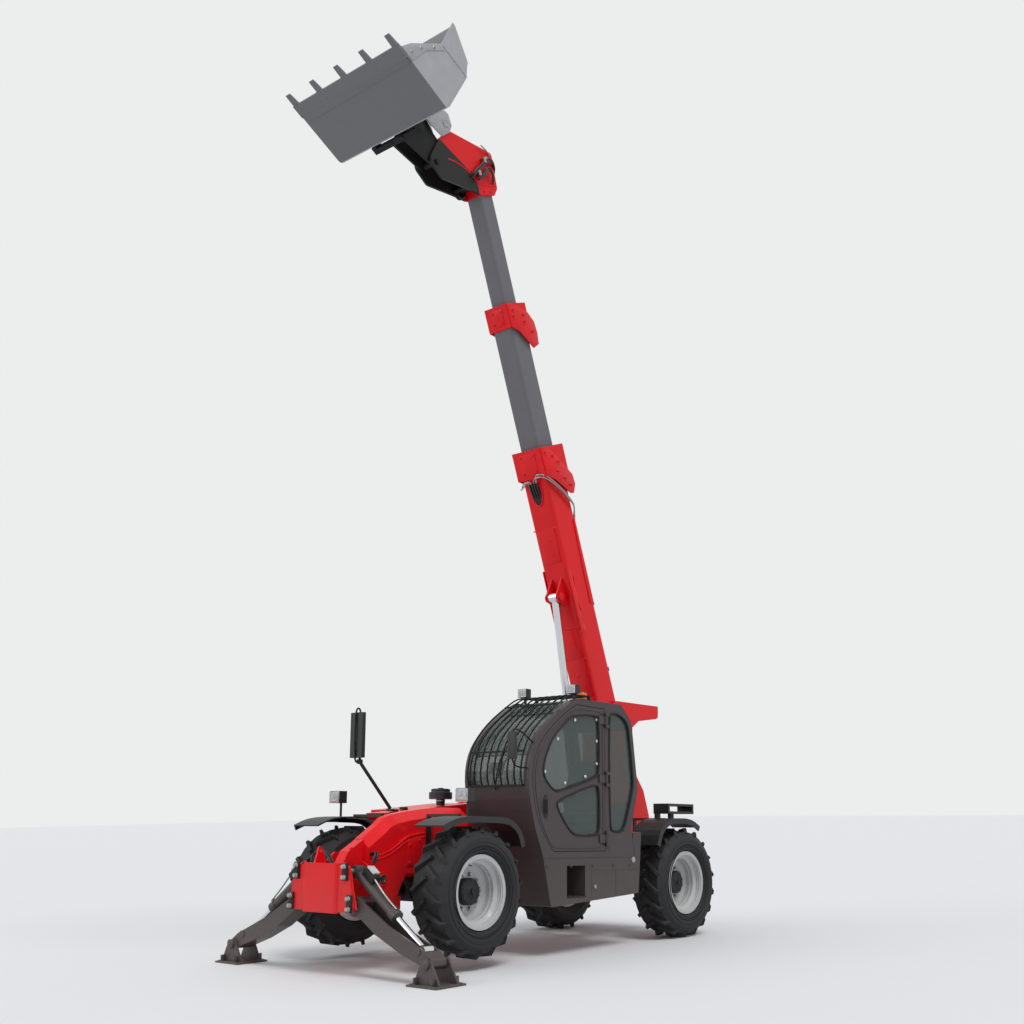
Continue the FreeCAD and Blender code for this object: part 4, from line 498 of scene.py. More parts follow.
def pressed(piece, axis, sense, rim, depth, edge, segments=2):
    """Insets the end that looks along an axis, raises it, or sinks it by a negative depth, and rounds the edges."""
    press(piece, facing(axis, sense), rim, [sense * depth if letter == axis else 0 for letter in "xyz"])
    return soften(piece, edge, segments)


def plump(piece, levels=2):
    """Subdivides a cushion's cage into a soft closed form."""
    hold(piece)
    made = piece.modifiers.new("softness", "SUBSURF")
    made.levels = made.render_levels = levels
    bpy.ops.object.modifier_apply(modifier=made.name)
    return piece


def plate(name, outline, thickness):
    """A flat plate: a filled circle's points moved to the outline, then extruded upwards."""
    clear_selection()
    bpy.ops.mesh.primitive_circle_add(vertices=len(outline), fill_type="NGON")
    piece = named(name)
    for vertex, (u, v) in zip(piece.data.vertices, outline):
        vertex.co = (u, v, 0)
    pick(piece, everything)
    bpy.ops.mesh.extrude_region_move(TRANSFORM_OT_translate={"value": (0, 0, thickness)})
    bpy.ops.mesh.select_all(action="SELECT")
    bpy.ops.mesh.normals_make_consistent(inside=False)
    done()
    return piece


def side_plate(name, outline, y, thickness, bevel=0.004):
    """A plate in an X-Z plane at y, thickened towards +Y, or towards -Y where that is negative."""
    sense = 1 if thickness > 0 else -1
    piece = plate(name, [(-sense * x, z) for x, z in outline], abs(thickness))
    piece.data.transform(Matrix(((-sense, 0, 0, 0), (0, 0, sense, y), (0, 1, 0, 0), (0, 0, 0, 1))))
    return soften(piece, bevel)


def pipe(name, points, radius, closed=False):
    """A pipe, hose or bead through the given points."""
    line = bpy.data.curves.new(name, "CURVE")
    line.dimensions = "3D"
    line.bevel_depth = radius
    line.bevel_resolution = 3
    line.use_fill_caps = True
    run = line.splines.new("NURBS")
    run.points.add(len(points) - 1)
    for point, at in zip(run.points, points):
        point.co = (at[0], at[1], at[2], 1)
    run.order_u = 3
    run.use_cyclic_u = closed
    run.use_endpoint_u = not closed
    run.resolution_u = 5
    made = bpy.data.objects.new(name, line)
    bpy.context.collection.objects.link(made)
    hold(made)
    bpy.ops.object.convert(target="MESH")
    return bpy.context.active_object


def on_circle(count, across, up, middle=(0, 0), phase=0.0):
    """Points spread evenly over an ellipse."""
    angles = [math.tau * (n + phase) / count for n in range(count)]
    return [(middle[0] + across * math.cos(a), middle[1] + up * math.sin(a)) for a in angles]


def ring_points(outline, y, corner=0.05):
    """A closed run in an X-Z plane with two points near each corner."""
    points = []
    count = len(outline)
    for i, here in enumerate(outline):
        here = Vector(here)
        for other in (outline[i - 1], outline[(i + 1) % count]):
            toward = (Vector(other) - here).normalized() * corner
            points.append((here.x + toward.x, y, here.y + toward.y))
    return points


def aimed(point, direction):
    """A place whose +Z looks along a direction."""
    turn = Vector(direction).to_track_quat("Z", "Y").to_matrix().to_4x4()
    return Matrix.Translation(point) @ turn


def hex_bolt(width, height):
    """A flanged hexagon head standing on the X-Y plane."""
    clear_selection()
    bpy.ops.mesh.primitive_cylinder_add(
        vertices=6, radius=width / math.sqrt(3), depth=height, location=(0, 0, height * 0.7)
    )
    bolt = named("bolt")
    bpy.ops.object.transform_apply(location=True, rotation=True, scale=True)
    pick(bolt, facing("z", -1))
    bpy.ops.mesh.extrude_region_move(TRANSFORM_OT_translate={"value": (0, 0, -height * 0.2)})
    bpy.ops.mesh.extrude_region_move(TRANSFORM_OT_translate={"value": (0, 0, -0.0005)})
    done()
    widen(bolt, lambda centre, normal: centre.z < 0.01 * height, (1.35, 1.35, 1))
    return soften(bolt, width * 0.06, 1)


def repeat(name, master, places):
    """Copies a part to each place, every copy with its own mesh, and joins them."""
    clear_selection()
    for place in places:
        made = master.copy()
        made.data = master.data.copy()
        made.data.transform(place)
        bpy.context.collection.objects.link(made)
        made.select_set(True)
        bpy.context.view_layer.objects.active = made
    bpy.ops.object.join()
    whole = named(name)
    bpy.data.objects.remove(master)
    return whole


def joined(name, pieces):
    """Several pieces as one."""
    clear_selection()
    for piece in pieces:
        piece.select_set(True)
    bpy.context.view_layer.objects.active = pieces[0]
    bpy.ops.object.join()
    return named(name)


def fit(piece, body, finish, smooth=EDGE_ANGLE, place=None):
    """Sets a finished piece in its place on its body, with its finish."""
    hold(piece)
    piece.data.transform((PLACE_OF[body] if place is None else place) @ piece.matrix_world)
    piece.matrix_world = Matrix.Identity(4)
    bpy.ops.object.shade_smooth_by_angle(angle=math.radians(smooth))
    piece.data.materials.clear()
    piece.data.materials.append(FINISHES[finish])
    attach(piece, body)
    return piece


def fit_bolts(name, width, height, spots, body, finish, place=None):
    """Hexagon bolts at (point, direction) spots, joined and fitted."""
    bolts = repeat(name, hex_bolt(width, height), [aimed(point, direction) for point, direction in spots])
    return fit(bolts, body, finish, place=place)


def both_sides(y, spots):
    """Spots on both flanks at y, each looking outwards."""
    return [((x, side * y, z), (0, side, 0)) for side in (-1, 1) for x, z in spots]


# Wheels

DISC_FACE, HUB_FACE = -0.0335, 0.0525
SIDEWALL_Y = 0.2015


def wheel_place(corner):
    x = WHEELBASE / 2 * (1 if corner.startswith("front") else -1)
    left = corner.endswith("left")
    turn = Matrix.Identity(4) if left else Matrix.Rotation(math.pi, 4, "Z")
    return CHASSIS @ shifted(x, TRACK / 2 * (1 if left else -1), TYRE_RADIUS) @ turn


def wheel_spots(count, radius, y, phase=0.0):
    """Spots round an axle, looking outwards."""
    return [((x, y, z), (0, 1, 0)) for x, z in on_circle(count, radius, radius, phase=phase)]


class TELEHANDLER_OT_wheel_trim(Operator):
    """Puts wheel nuts, hub cover bolts, a valve and sidewall ribs on each wheel"""

    bl_idname = "telehandler.wheel_trim"
    bl_label = "Wheel trim"

    def execute(self, context):
        sizes = context.scene.telehandler_sizes
        count = sizes.wheel_bolts
        for corner in CORNERS:
            place, body = wheel_place(corner), "wheel_" + corner
            nuts, small = wheel_spots(count, 0.162, DISC_FACE), wheel_spots(count, 0.103, HUB_FACE - 0.012, 0.5)
            fit_bolts("wheel_nuts_" + corner, sizes.nut_width, 0.026, nuts, body, "pin_steel", place)
            fit_bolts("hub_bolts_" + corner, 0.016, 0.009, small, body, "axle_grey", place)
            cap = drum("hub_plug_" + corner, (0, HUB_FACE + 0.012, 0), (0, HUB_FACE + 0.03, 0), 0.03, 12)
            fit(pressed(cap, "y", 1, 0.01, -0.006, 0.003), body, "axle_grey", place=place)
            for name, finish, count_round, rings in (
                ("sidewall_ribs_", "tyre_rubber", 16,
                 ((0.372, SIDEWALL_Y, 0.006), (0.4, SIDEWALL_Y, 0.0035), (0.452, SIDEWALL_Y, 0.0035))),
                ("rim_steps_", "rim_silver", 20,
                 ((0.302, 0.145, 0.009), (0.3, 0.118, 0.009), (0.27, 0.078, 0.009), (0.268, 0.035, 0.009))),
            ):
                beads = []
                for radius, y, thickness in rings:
                    points = [(x, y, z) for x, z in on_circle(count_round, radius, radius)]
                    beads.append(pipe("ring", points, thickness, closed=True))
                fit(joined(name + corner, beads), body, finish, ROUND_ANGLE, place)
            stem = pipe("valve_" + corner, ((0, DISC_FACE + 0.02, 0.243), (0, 0.0, 0.236), (0, 0.05, 0.226)), 0.005)
            fit(stem, body, "rubber_seal", place=place)
        return {"FINISHED"}


# Nose and frame

NOSE_X, LEG_X = 2.67, 2.5235
NOSE_PINS = ((0.398, 0.49), (0.33, 0.76))
FLANK_Y = 0.336


class TELEHANDLER_OT_nose_fittings(Operator):
    """Adds the pin retainers, the frame's rib and hatches, and the hoses to the stabilisers"""

    bl_idname = "telehandler.nose_fittings"
    bl_label = "Nose fittings"

    def execute(self, context):
        for side, word in SIDES:
            pills, spots = [], []
            for y, z in NOSE_PINS:
                low, high = (NOSE_X - 0.002, side * y - 0.034, z - 0.075), (NOSE_X + 0.018, side * y + 0.034, z + 0.075)
                pills.append(pressed(block("pill", low, high), "x", 1, 0.012, 0.006, 0.014, 3))
                spots += [((NOSE_X + 0.022, side * y, z + step), (1, 0, 0)) for step in (-0.045, 0.045)]
            fit(joined("pin_retainers_" + word, pills), "chassis", "black_steel")
            fit_bolts("retainer_bolts_" + word, 0.034, 0.02, spots, "chassis", "pin_steel")
            lugs = []
            for x in (NOSE_X - 0.03, NOSE_X - 0.26):
                run = ((0.25, 0.838), (0.36, 0.82), (0.40, 0.6), (0.452, 0.44))
                lugs.append(pipe("lug_edge", [(x, side * y, z) for y, z in run], 0.009))
            fit(joined("lug_edges_" + word, lugs), "chassis", "red_paint", ROUND_ANGLE)
        # pressed rib along the flank, in two close lines, and a boss with its plug
        ribs = []
        for step in (0.0, 0.034):
            run = ((2.36, 0.9), (2.2, 0.925), (2.06, 1.0), (1.95, 1.07), (1.82, 1.1), (1.72, 1.108))
            ribs.append(pipe("rib", [(x, FLANK_Y, z - step - 0.012) for x, z in run], 0.008))
        fit(joined("flank_ribs", ribs), "chassis", "red_paint", ROUND_ANGLE)
        boss = drum("boss_plug", (2.25, 0.352, 0.69), (2.25, 0.362, 0.69), 0.04, 28)
        fit(pressed(boss, "y", 1, 0.014, -0.006, 0.003), "chassis", "pin_steel")
        outline = ((1.76, 0.8), (1.94, 0.8), (1.94, 1.02), (1.82, 1.06), (1.76, 1.06))
        fit(side_plate("flank_cover", outline, FLANK_Y, 0.008, 0.01), "chassis", "red_paint")
        corners = ((1.79, 0.83), (1.91, 0.83), (1.91, 0.99), (1.79, 1.03))
        spots = [((x, FLANK_Y + 0.008, z), (0, 1, 0)) for x, z in corners]
        fit_bolts("flank_cover_bolts", 0.018, 0.01, spots, "chassis", "red_paint")
        for side, word in SIDES:
            runs = []
            for step in (0.0, 0.03):
                run = ((2.38, 0.2, 0.8), (2.36, 0.3, 0.92), (2.39, 0.41, 0.93), (2.43, 0.43, 0.88), (2.44, 0.42, 0.83))
                points = [(x - step, side * y, z) for x, y, z in run]
                runs.append(pipe("hose", points, context.scene.telehandler_sizes.hose_radius))
            fit(joined("stabiliser_hoses_" + word, runs), "chassis", "hose_rubber", ROUND_ANGLE)
        return {"FINISHED"}


PAD_PIN_Y, PAD_PIN_HEIGHT, PAD_HALF = 1.315, 0.18, 0.165


def pad_place(side):
    """The foot's pin, where it really stands, with level axes."""
    run = LEG_X + WHEELBASE / 2
    slope = math.asin(FRONT_LIFT / WHEELBASE)
    height = TYRE_RADIUS + (PAD_PIN_HEIGHT - TYRE_RADIUS - run * math.sin(slope)) / math.cos(slope)
    return Matrix.Translation(CHASSIS @ Vector((LEG_X, side * PAD_PIN_Y, height)))


class TELEHANDLER_OT_stabiliser_fittings(Operator):
    """Adds valve blocks to the stabiliser cylinders, and pin heads, ribs and a folded rim to the feet"""

    bl_idname = "telehandler.stabiliser_fittings"
    bl_label = "Stabiliser fittings"

    def execute(self, context):
        for side, word in SIDES:
            # along the cylinder from its foot pin
            start = Vector((LEG_X, side * 0.33, 0.76))
            along = (Vector((LEG_X, side * 1.1915, 0.142)) - start).normalized()
            across = Vector((1, 0, 0))
            upwards = along.cross(across)
            place = CHASSIS @ Matrix.Translation(start) @ Matrix((along, across, upwards)).transposed().to_4x4()
            lift = 1 if upwards.z > 0 else -1
            body = "leg_cylinder_" + word
            low, high = sorted((lift * 0.045, lift * 0.115))
            valve = block("valve_block_" + word, (0.08, -0.045, low), (0.24, 0.045, high))
            fit(pressed(valve, "z", lift, 0.012, 0.008, 0.005), body, "black_steel", place=place)
            low, high = sorted((lift * 0.122, lift * 0.14))
            cover = block("valve_cover_" + word, (0.1, -0.036, low), (0.2, 0.036, high))
            fit(pressed(cover, "z", lift, 0.01, -0.004, 0.006, 3), body, "rim_silver", place=place)
            run = ((0.22, 0.03, 0.1), (0.3, 0.03, 0.09), (0.45, 0.028, 0.066), (0.6, 0.02, 0.064))
            line = pipe("cylinder_line_" + word, [(s, y, lift * z) for s, y, z in run], 0.008)
            fit(line, body, "pin_steel", ROUND_ANGLE, place)
            # foot: pin heads, two ribs a side and a folded rim, on the level ground
            foot, body = pad_place(side), "foot_" + word
            heads, ribs = [], []
            for s in (-1, 1):
                head = drum("head", (s * 0.114, 0, 0), (s * 0.138, 0, 0), 0.042, 20)
                heads.append(pressed(head, "x", s, 0.014, 0.004, 0.004))
            fit(joined("foot_pin_heads_" + word, heads), body, "umber_paint", place=foot)
            for s in (-1, 1):
                for y in (-0.1, 0.1):
                    low, high = (s * 0.118 - 0.002, y - 0.006, -0.165), (s * 0.118 + s * 0.045, y + 0.006, -0.105)
                    ribs.append(soften(block("rib", low, high), 0.003))
            fit(joined("foot_ribs_" + word, ribs), body, "umber_paint", place=foot)
            square = ((-PAD_HALF, -PAD_HALF), (PAD_HALF, -PAD_HALF), (PAD_HALF, PAD_HALF), (-PAD_HALF, PAD_HALF))
            rim = pipe("foot_rim_" + word, ring_points(square, 0.0, 0.02), 0.006, True)
            rim.data.transform(Matrix.Rotation(math.radians(90), 4, "X"))
            fit(rim, body, "umber_paint", ROUND_ANGLE, foot @ shifted(0, 0, -0.164))
        return {"FINISHED"}


# Lamps and mirrors

LAMP_X, LAMP_Y, LAMP_LOW, LAMP_HIGH = 1.785, 0.88, 1.379, 1.499
WORK_LAMP_Y, SKIRT_Y = 0.56, 0.979


class TELEHANDLER_OT_lamps(Operator):
    """Fits bowls and lenses to the head lamps, the work lamps, the beacon and the tail lamp"""

    bl_idname = "telehandler.lamps"
    bl_label = "Lamps"

    def execute(self, context):
        bowls, lenses, ambers = [], [], []
        for side in (-1, 1):
            y = side * LAMP_Y
            low, high = (LAMP_X, y - 0.074, LAMP_LOW + 0.002), (LAMP_X + 0.014, y + 0.074, LAMP_HIGH - 0.002)
            surround = pressed(block(f"headlamp_reflector_{side + 1}", low, high), "x", 1, 0.006, -0.01, 0.002)
            fit(surround, "chassis", "reflector_bowl")
            for step in (-0.034, 0.034):
                bowl = drum("bowl", (LAMP_X + 0.003, y + step, 1.452), (LAMP_X + 0.016, y + step, 1.452), 0.031)
                bowls.append(press(bowl, facing("x"), 0.005, (-0.009, 0, 0)))
            low, high = (LAMP_X + 0.012, y - 0.07, LAMP_LOW + 0.006), (LAMP_X + 0.02, y + 0.07, LAMP_HIGH - 0.006)
            lenses.append(pressed(block("cover", low, high), "x", 1, 0.012, 0.004, 0.004))
            strip = block("strip", (LAMP_X + 0.004, y - 0.062, 1.388), (LAMP_X + 0.02, y + 0.062, 1.406))
            ambers.append(soften(strip, 0.005, 3))
            if side > 0:
                continue
            for step in (-0.33, 0.33):
                at = WORK_LAMP_Y + step
                bowl = block("bowl", (0.213, at - 0.056, 2.504), (0.219, at + 0.056, 2.586))
                bowls.append(pressed(bowl, "x", 1, 0.008, -0.004, 0.001, 1))
                dome = block("dome", (0.216, at - 0.05, 2.51), (0.224, at + 0.05, 2.58))
                lenses.append(soften(dome, 0.004, 3))
        fit(joined("lamp_bowls", bowls), "chassis", "reflector_bowl")
        fit(joined("lamp_lenses", lenses), "chassis", "clear_lens", ROUND_ANGLE)
        fit(joined("turn_strips", ambers), "chassis", "amber_lens", ROUND_ANGLE)
        beacon = drum("beacon_lens", (-0.14, 0.75, 2.462), (-0.14, 0.75, 2.55), 0.051, 32)
        fit(soften(beacon, 0.02, 4), "chassis", "amber_lens", ROUND_ANGLE)
        tail = block("tail_lens", (-1.988, 0.72, 1.335), (-1.976, 0.88, 1.413))
        fit(pressed(tail, "x", -1, 0.008, 0.004, 0.004), "chassis", "red_lens")
        mark = drum("side_reflector", (-0.699, SKIRT_Y, 0.835), (-0.699, SKIRT_Y + 0.009, 0.835), 0.03)
        fit(pressed(mark, "y", 1, 0.006, 0.002, 0.003), "chassis", "clear_lens")
        return {"FINISHED"}


class TELEHANDLER_OT_mirrors(Operator):
    """Adds the mirrors' faces, the wire guard on the mast and the small mirror before the cab"""

    bl_idname = "telehandler.mirrors"
    bl_label = "Mirrors"

    def execute(self, context):
        glass = block("glass", (1.904, -0.475, 1.82), (1.9105, -0.325, 2.24))
        faces = [pressed(glass, "x", -1, 0.006, -0.002, 0.002)]
        run = ((1.9, 2.12), (1.9, 2.27), (1.935, 2.3), (1.97, 2.26), (1.97, 1.79), (1.93, 1.76), (1.9, 1.775))
        fit(pipe("mast_wire", [(x, -0.4, z) for x, z in run], 0.009), "chassis", "black_steel", ROUND_ANGLE)
        clamps = [soften(block("clamp", (1.88, -0.43, z), (1.93, -0.37, z + 0.05)), 0.008, 3) for z in (1.86, 2.06)]
        fit(joined("mirror_clamps", clamps), "chassis", "black_plastic")
        shell = block("cab_mirror", (1.15, 0.9, 1.79), (1.19, 0.985, 2.05))
        fit(pressed(shell, "x", -1, 0.008, -0.006, 0.012, 3), "chassis", "black_plastic")
        faces.append(soften(block("glass", (1.154, 0.909, 1.8), (1.158, 0.976, 2.04)), 0.001, 1))
        fit(joined("mirror_faces", faces), "chassis", "mirror_face")
        arms = [
            pipe("arm", ((0.965, 0.945, 1.72), (1.06, 0.955, 1.71), (1.165, 0.945, 1.74), (1.17, 0.943, 1.8)), 0.008),
            pipe("arm", ((0.87, 0.945, 1.96), (1.02, 0.955, 2.05), (1.165, 0.945, 2.09), (1.17, 0.943, 2.04)), 0.008),
        ]
        fit(joined("cab_mirror_arms", arms), "chassis", "black_steel", ROUND_ANGLE)
        return {"FINISHED"}


# Cab

DOOR_Y = 0.981
DOOR_GLASS = (
    ((-0.13, 1.67), (0.575, 1.49), (0.765, 1.64), (0.745, 1.8), (0.62, 2.02), (0.33, 2.262), (-0.13, 2.3)),
    ((-0.13, 1.08), (0.29, 1.08), (0.43, 1.2), (0.585, 1.4), (0.18, 1.53), (-0.13, 1.6)),
)
DOOR_EDGE = (
    (-0.19, 0.96), (0.59, 0.96), (0.665, 1.02), (0.8, 1.235), (0.868, 1.48), (0.877, 1.7), (0.81, 1.892),
    (0.625, 2.09), (0.375, 2.265), (0.22, 2.34), (-0.19, 2.335),
)
DOOR_STUDS = (
    (-0.1, 2.25), (0.256, 2.222), (0.53, 2.02), (0.725, 1.69), (0.417, 1.59), (0.093, 1.664), (-0.1, 2.03), (-0.1, 1.8)
)
QUARTER_GLASS = ((-0.3, 1.12), (-0.545, 1.12), (-0.725, 1.6), (-0.64, 2.235), (-0.5, 2.33), (-0.3, 2.34))
SEAT_Y, CUSHION_X = 0.56, -0.175


class TELEHANDLER_OT_door_trim(Operator):
    """Adds the door's glass seals, pressed edge, hinge bolts, glass studs and handle plate"""

    bl_idname = "telehandler.door_trim"
    bl_label = "Door trim"

    def execute(self, context):
        seals = [pipe("seal", ring_points(run, 0.98), 0.011, True) for run in DOOR_GLASS]
        fit(joined("door_glass_seals", seals), "cab_door", "rubber_seal", ROUND_ANGLE)
        bead = pipe("door_edge_bead", ring_points(DOOR_EDGE, DOOR_Y, 0.03), 0.006, True)
        fit(bead, "cab_door", "umber_paint", ROUND_ANGLE)
        stud = pressed(drum("stud", (0, 0, 0), (0, 0, 0.01), 0.017, 16), "z", 1, 0.004, 0.004, 0.002)
        studs = repeat("door_glass_studs", stud, [aimed((x, 0.967, z), (0, 1, 0)) for x, z in DOOR_STUDS])
        fit(studs, "cab_door", "chrome_rod")
        dish = side_plate("handle_plate", on_circle(28, 0.045, 0.115, (0.7175, 1.355)), 0.978, 0.008, 0.003)
        fit(dish, "cab_door", "black_plastic")
        spots = [
            ((-0.21 + step, DOOR_Y, z + lift), (0, 1, 0))
            for z in (1.05, 1.65, 2.25) for step in (0.03, 0.055) for lift in (-0.02, 0.02)
        ]
        fit_bolts("door_hinge_bolts", 0.014, 0.008, spots, "cab_door", "umber_paint")
        return {"FINISHED"}


class TELEHANDLER_OT_cab_trim(Operator):
    """Adds the quarter window's seal, the wiper, the roof panel, the step tread and the skirt's bolts"""

    bl_idname = "telehandler.cab_trim"
    bl_label = "Cab trim"

    def execute(self, context):
        seal = pipe("quarter_seal", ring_points(QUARTER_GLASS, DOOR_Y), 0.011, True)
        fit(seal, "chassis", "rubber_seal", ROUND_ANGLE)
        arm = ((0.985, 0.56, 1.51), (0.993, 0.57, 1.56), (0.99, 0.6, 1.75), (0.958, 0.64, 1.9))
        blade = ((0.992, 0.6, 1.62), (0.985, 0.625, 1.78), (0.935, 0.66, 1.93), (0.86, 0.69, 2.03))
        wiper = [pipe("wiper_arm", arm, 0.007), pipe("wiper_blade", blade, 0.005)]
        fit(joined("wiper", wiper), "chassis", "black_steel", ROUND_ANGLE)
        panel = block("roof_panel", (-0.48, 0.24, 2.4365), (-0.23, 0.88, 2.45))
        press(panel, facing("z"), 0.03, (0, 0, 0.012))
        press(panel, above(2.46), 0.05, (0, 0, -0.008))
        fit(soften(panel, 0.008, 3), "chassis", "umber_paint")
        spots = [((x, DOOR_Y, 0.785), (0, 1, 0)) for x in (0.695, 0.338, -0.01, -0.347, -0.642)]
        fit_bolts("skirt_bolts", 0.018, 0.01, spots, "chassis", "umber_paint")
        seams = []
        for run, radius in (
            (((-0.775, 0.868), (-0.3, 0.868), (0.3, 0.868), (0.745, 0.868)), 0.006),
            (((-0.77, 0.742), (-0.3, 0.742), (0.0, 0.742), (0.09, 0.742)), 0.004),
            (((0.008, 0.74), (0.008, 0.62), (0.008, 0.52), (0.008, 0.45)), 0.004),
            (((-0.396, 0.74), (-0.396, 0.65), (-0.396, 0.56), (-0.396, 0.475)), 0.004),
        ):
            seams.append(pipe("seam", [(x, SKIRT_Y, z) for x, z in run], radius))
        fit(joined("skirt_seams", seams), "chassis", "umber_paint", ROUND_ANGLE)
        tread = pressed(block("tread", (0.115, 0.79, 0.48), (0.395, 0.978, 0.492)), "z", 1, 0.01, 0.004, 0.003)
        grip = soften(block("grip", (-0.012, -0.003, 0), (0.012, 0.003, 0.006)), 0.002, 1)
        places = []
        for i in range(7):
            for j in range(5):
                turn = Matrix.Rotation(0.8 if (i + j) % 2 else -0.8, 4, "Z")
                places.append(shifted(0.14 + 0.04 * i, 0.81 + 0.035 * j, 0.495) @ turn)
        fit(joined("step_treads", [tread, repeat("grips", grip, places)]), "chassis", "black_steel")
        lock = drum("skirt_lock", (-0.044, SKIRT_Y, 0.582), (-0.044, SKIRT_Y + 0.011, 0.582), 0.02, 20)
        fit(pressed(lock, "y", 1, 0.006, -0.003, 0.002), "chassis", "pin_steel")
        return {"FINISHED"}


class TELEHANDLER_OT_cab_inside(Operator):
    """Models the seat's cushions and the levers, screen and pedals in the cab"""

    bl_idname = "telehandler.cab_inside"
    bl_label = "Cab inside"

    def execute(self, context):
        base = block("seat_base", (-0.37, 0.4, 0.9205), (0.03, 0.72, 1.19))
        press(base, lambda centre, normal: abs(normal.y) > 0.9, 0.04)
        widen(base, lambda centre, normal: normal.z > 0.9, (1.05, 1.1, 1))
        fit(soften(base, 0.015, 3), "chassis", "black_plastic")
        # cages of four by four faces a side: the cushion dips in its middle, the back hollows and narrows upwards
        cushion = self.caged("seat_cushion", (-0.42, 0.34, 1.19), (0.07, 0.78, 1.3))
        for vertex in cushion.data.vertices:
            x, y, z = vertex.co
            if z > 1.28:
                near_side = abs(y - SEAT_Y) / 0.22
                vertex.co.z += 0.03 * near_side ** 2 - 0.012 * (1 - abs(x - CUSHION_X) / 0.245)
        plump(cushion)
        seams = []
        for y in (0.45, SEAT_Y, 0.67):
            seams.append(pipe("seam", ((-0.36, y, 1.297), (-0.17, y, 1.292), (0.02, y, 1.297)), 0.003))
        fit(cushion, "chassis", "seat_fabric", 80)
        fit(joined("cushion_seams", seams), "chassis", "rubber_seal", ROUND_ANGLE)
        back = self.caged("seat_backrest", (-0.055, -0.21, 0.0), (0.055, 0.21, 0.56))
        for vertex in back.data.vertices:
            x, y, z = vertex.co
            vertex.co.y *= 1 - 0.25 * max(0, z - 0.28) / 0.28
            if x > 0.05:
                vertex.co.x += 0.03 * (abs(y) / 0.21) ** 2
        plump(back)
        leaning = Matrix.Rotation(math.radians(-12), 4, "Y")
        fit(back, "chassis", "seat_fabric", 80, CHASSIS @ shifted(-0.36, SEAT_Y, 1.3) @ leaning)
        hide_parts("seat")
        rests = []
        for y in (0.335, 0.785):
            rests.append(soften(block("rest", (-0.34, y - 0.025, 1.42), (-0.02, y + 0.025, 1.46)), 0.015, 3))
        fit(joined("arm_rests", rests), "chassis", "black_plastic")
        levers = [
            pipe("lever", ((0.02, 0.345, 1.45), (0.03, 0.345, 1.5), (0.04, 0.34, 1.56)), 0.009),
            soften(drum("knob", (0.04, 0.34, 1.55), (0.05, 0.34, 1.64), 0.024, 16), 0.012, 3),
            pipe("lever", ((0.45, 0.33, 1.1), (0.42, 0.32, 1.25), (0.38, 0.31, 1.38)), 0.008),
            soften(drum("knob", (0.38, 0.31, 1.37), (0.377, 0.309, 1.41), 0.018, 16), 0.01, 3),
        ]
        fit(joined("levers", levers), "chassis", "black_plastic", ROUND_ANGLE)
        screen = block("dash_screen", (0.6, 0.24, 1.2), (0.63, 0.44, 1.34))
        fit(pressed(screen, "x", -1, 0.01, -0.004, 0.006, 3), "chassis", "black_plastic")
        pedals = []
        for y in (0.46, 0.66):
            pedal = block("pedal", (0.6, y - 0.035, 0.96), (0.615, y + 0.035, 1.07))
            pedals.append(pressed(pedal, "x", -1, 0.006, 0.004, 0.004))
        fit(joined("pedals", pedals), "chassis", "rubber_seal")
        return {"FINISHED"}

    @staticmethod
    def caged(name, low, high):
        """A block cut into a cage that can be shaped and subdivided."""
        piece = block(name, low, high)
        pick(piece, everything)
        bpy.ops.mesh.subdivide(number_cuts=3)
        done()
        return piece


# Engine side

FILTER_X, FILTER_Y = 0.69, -0.48


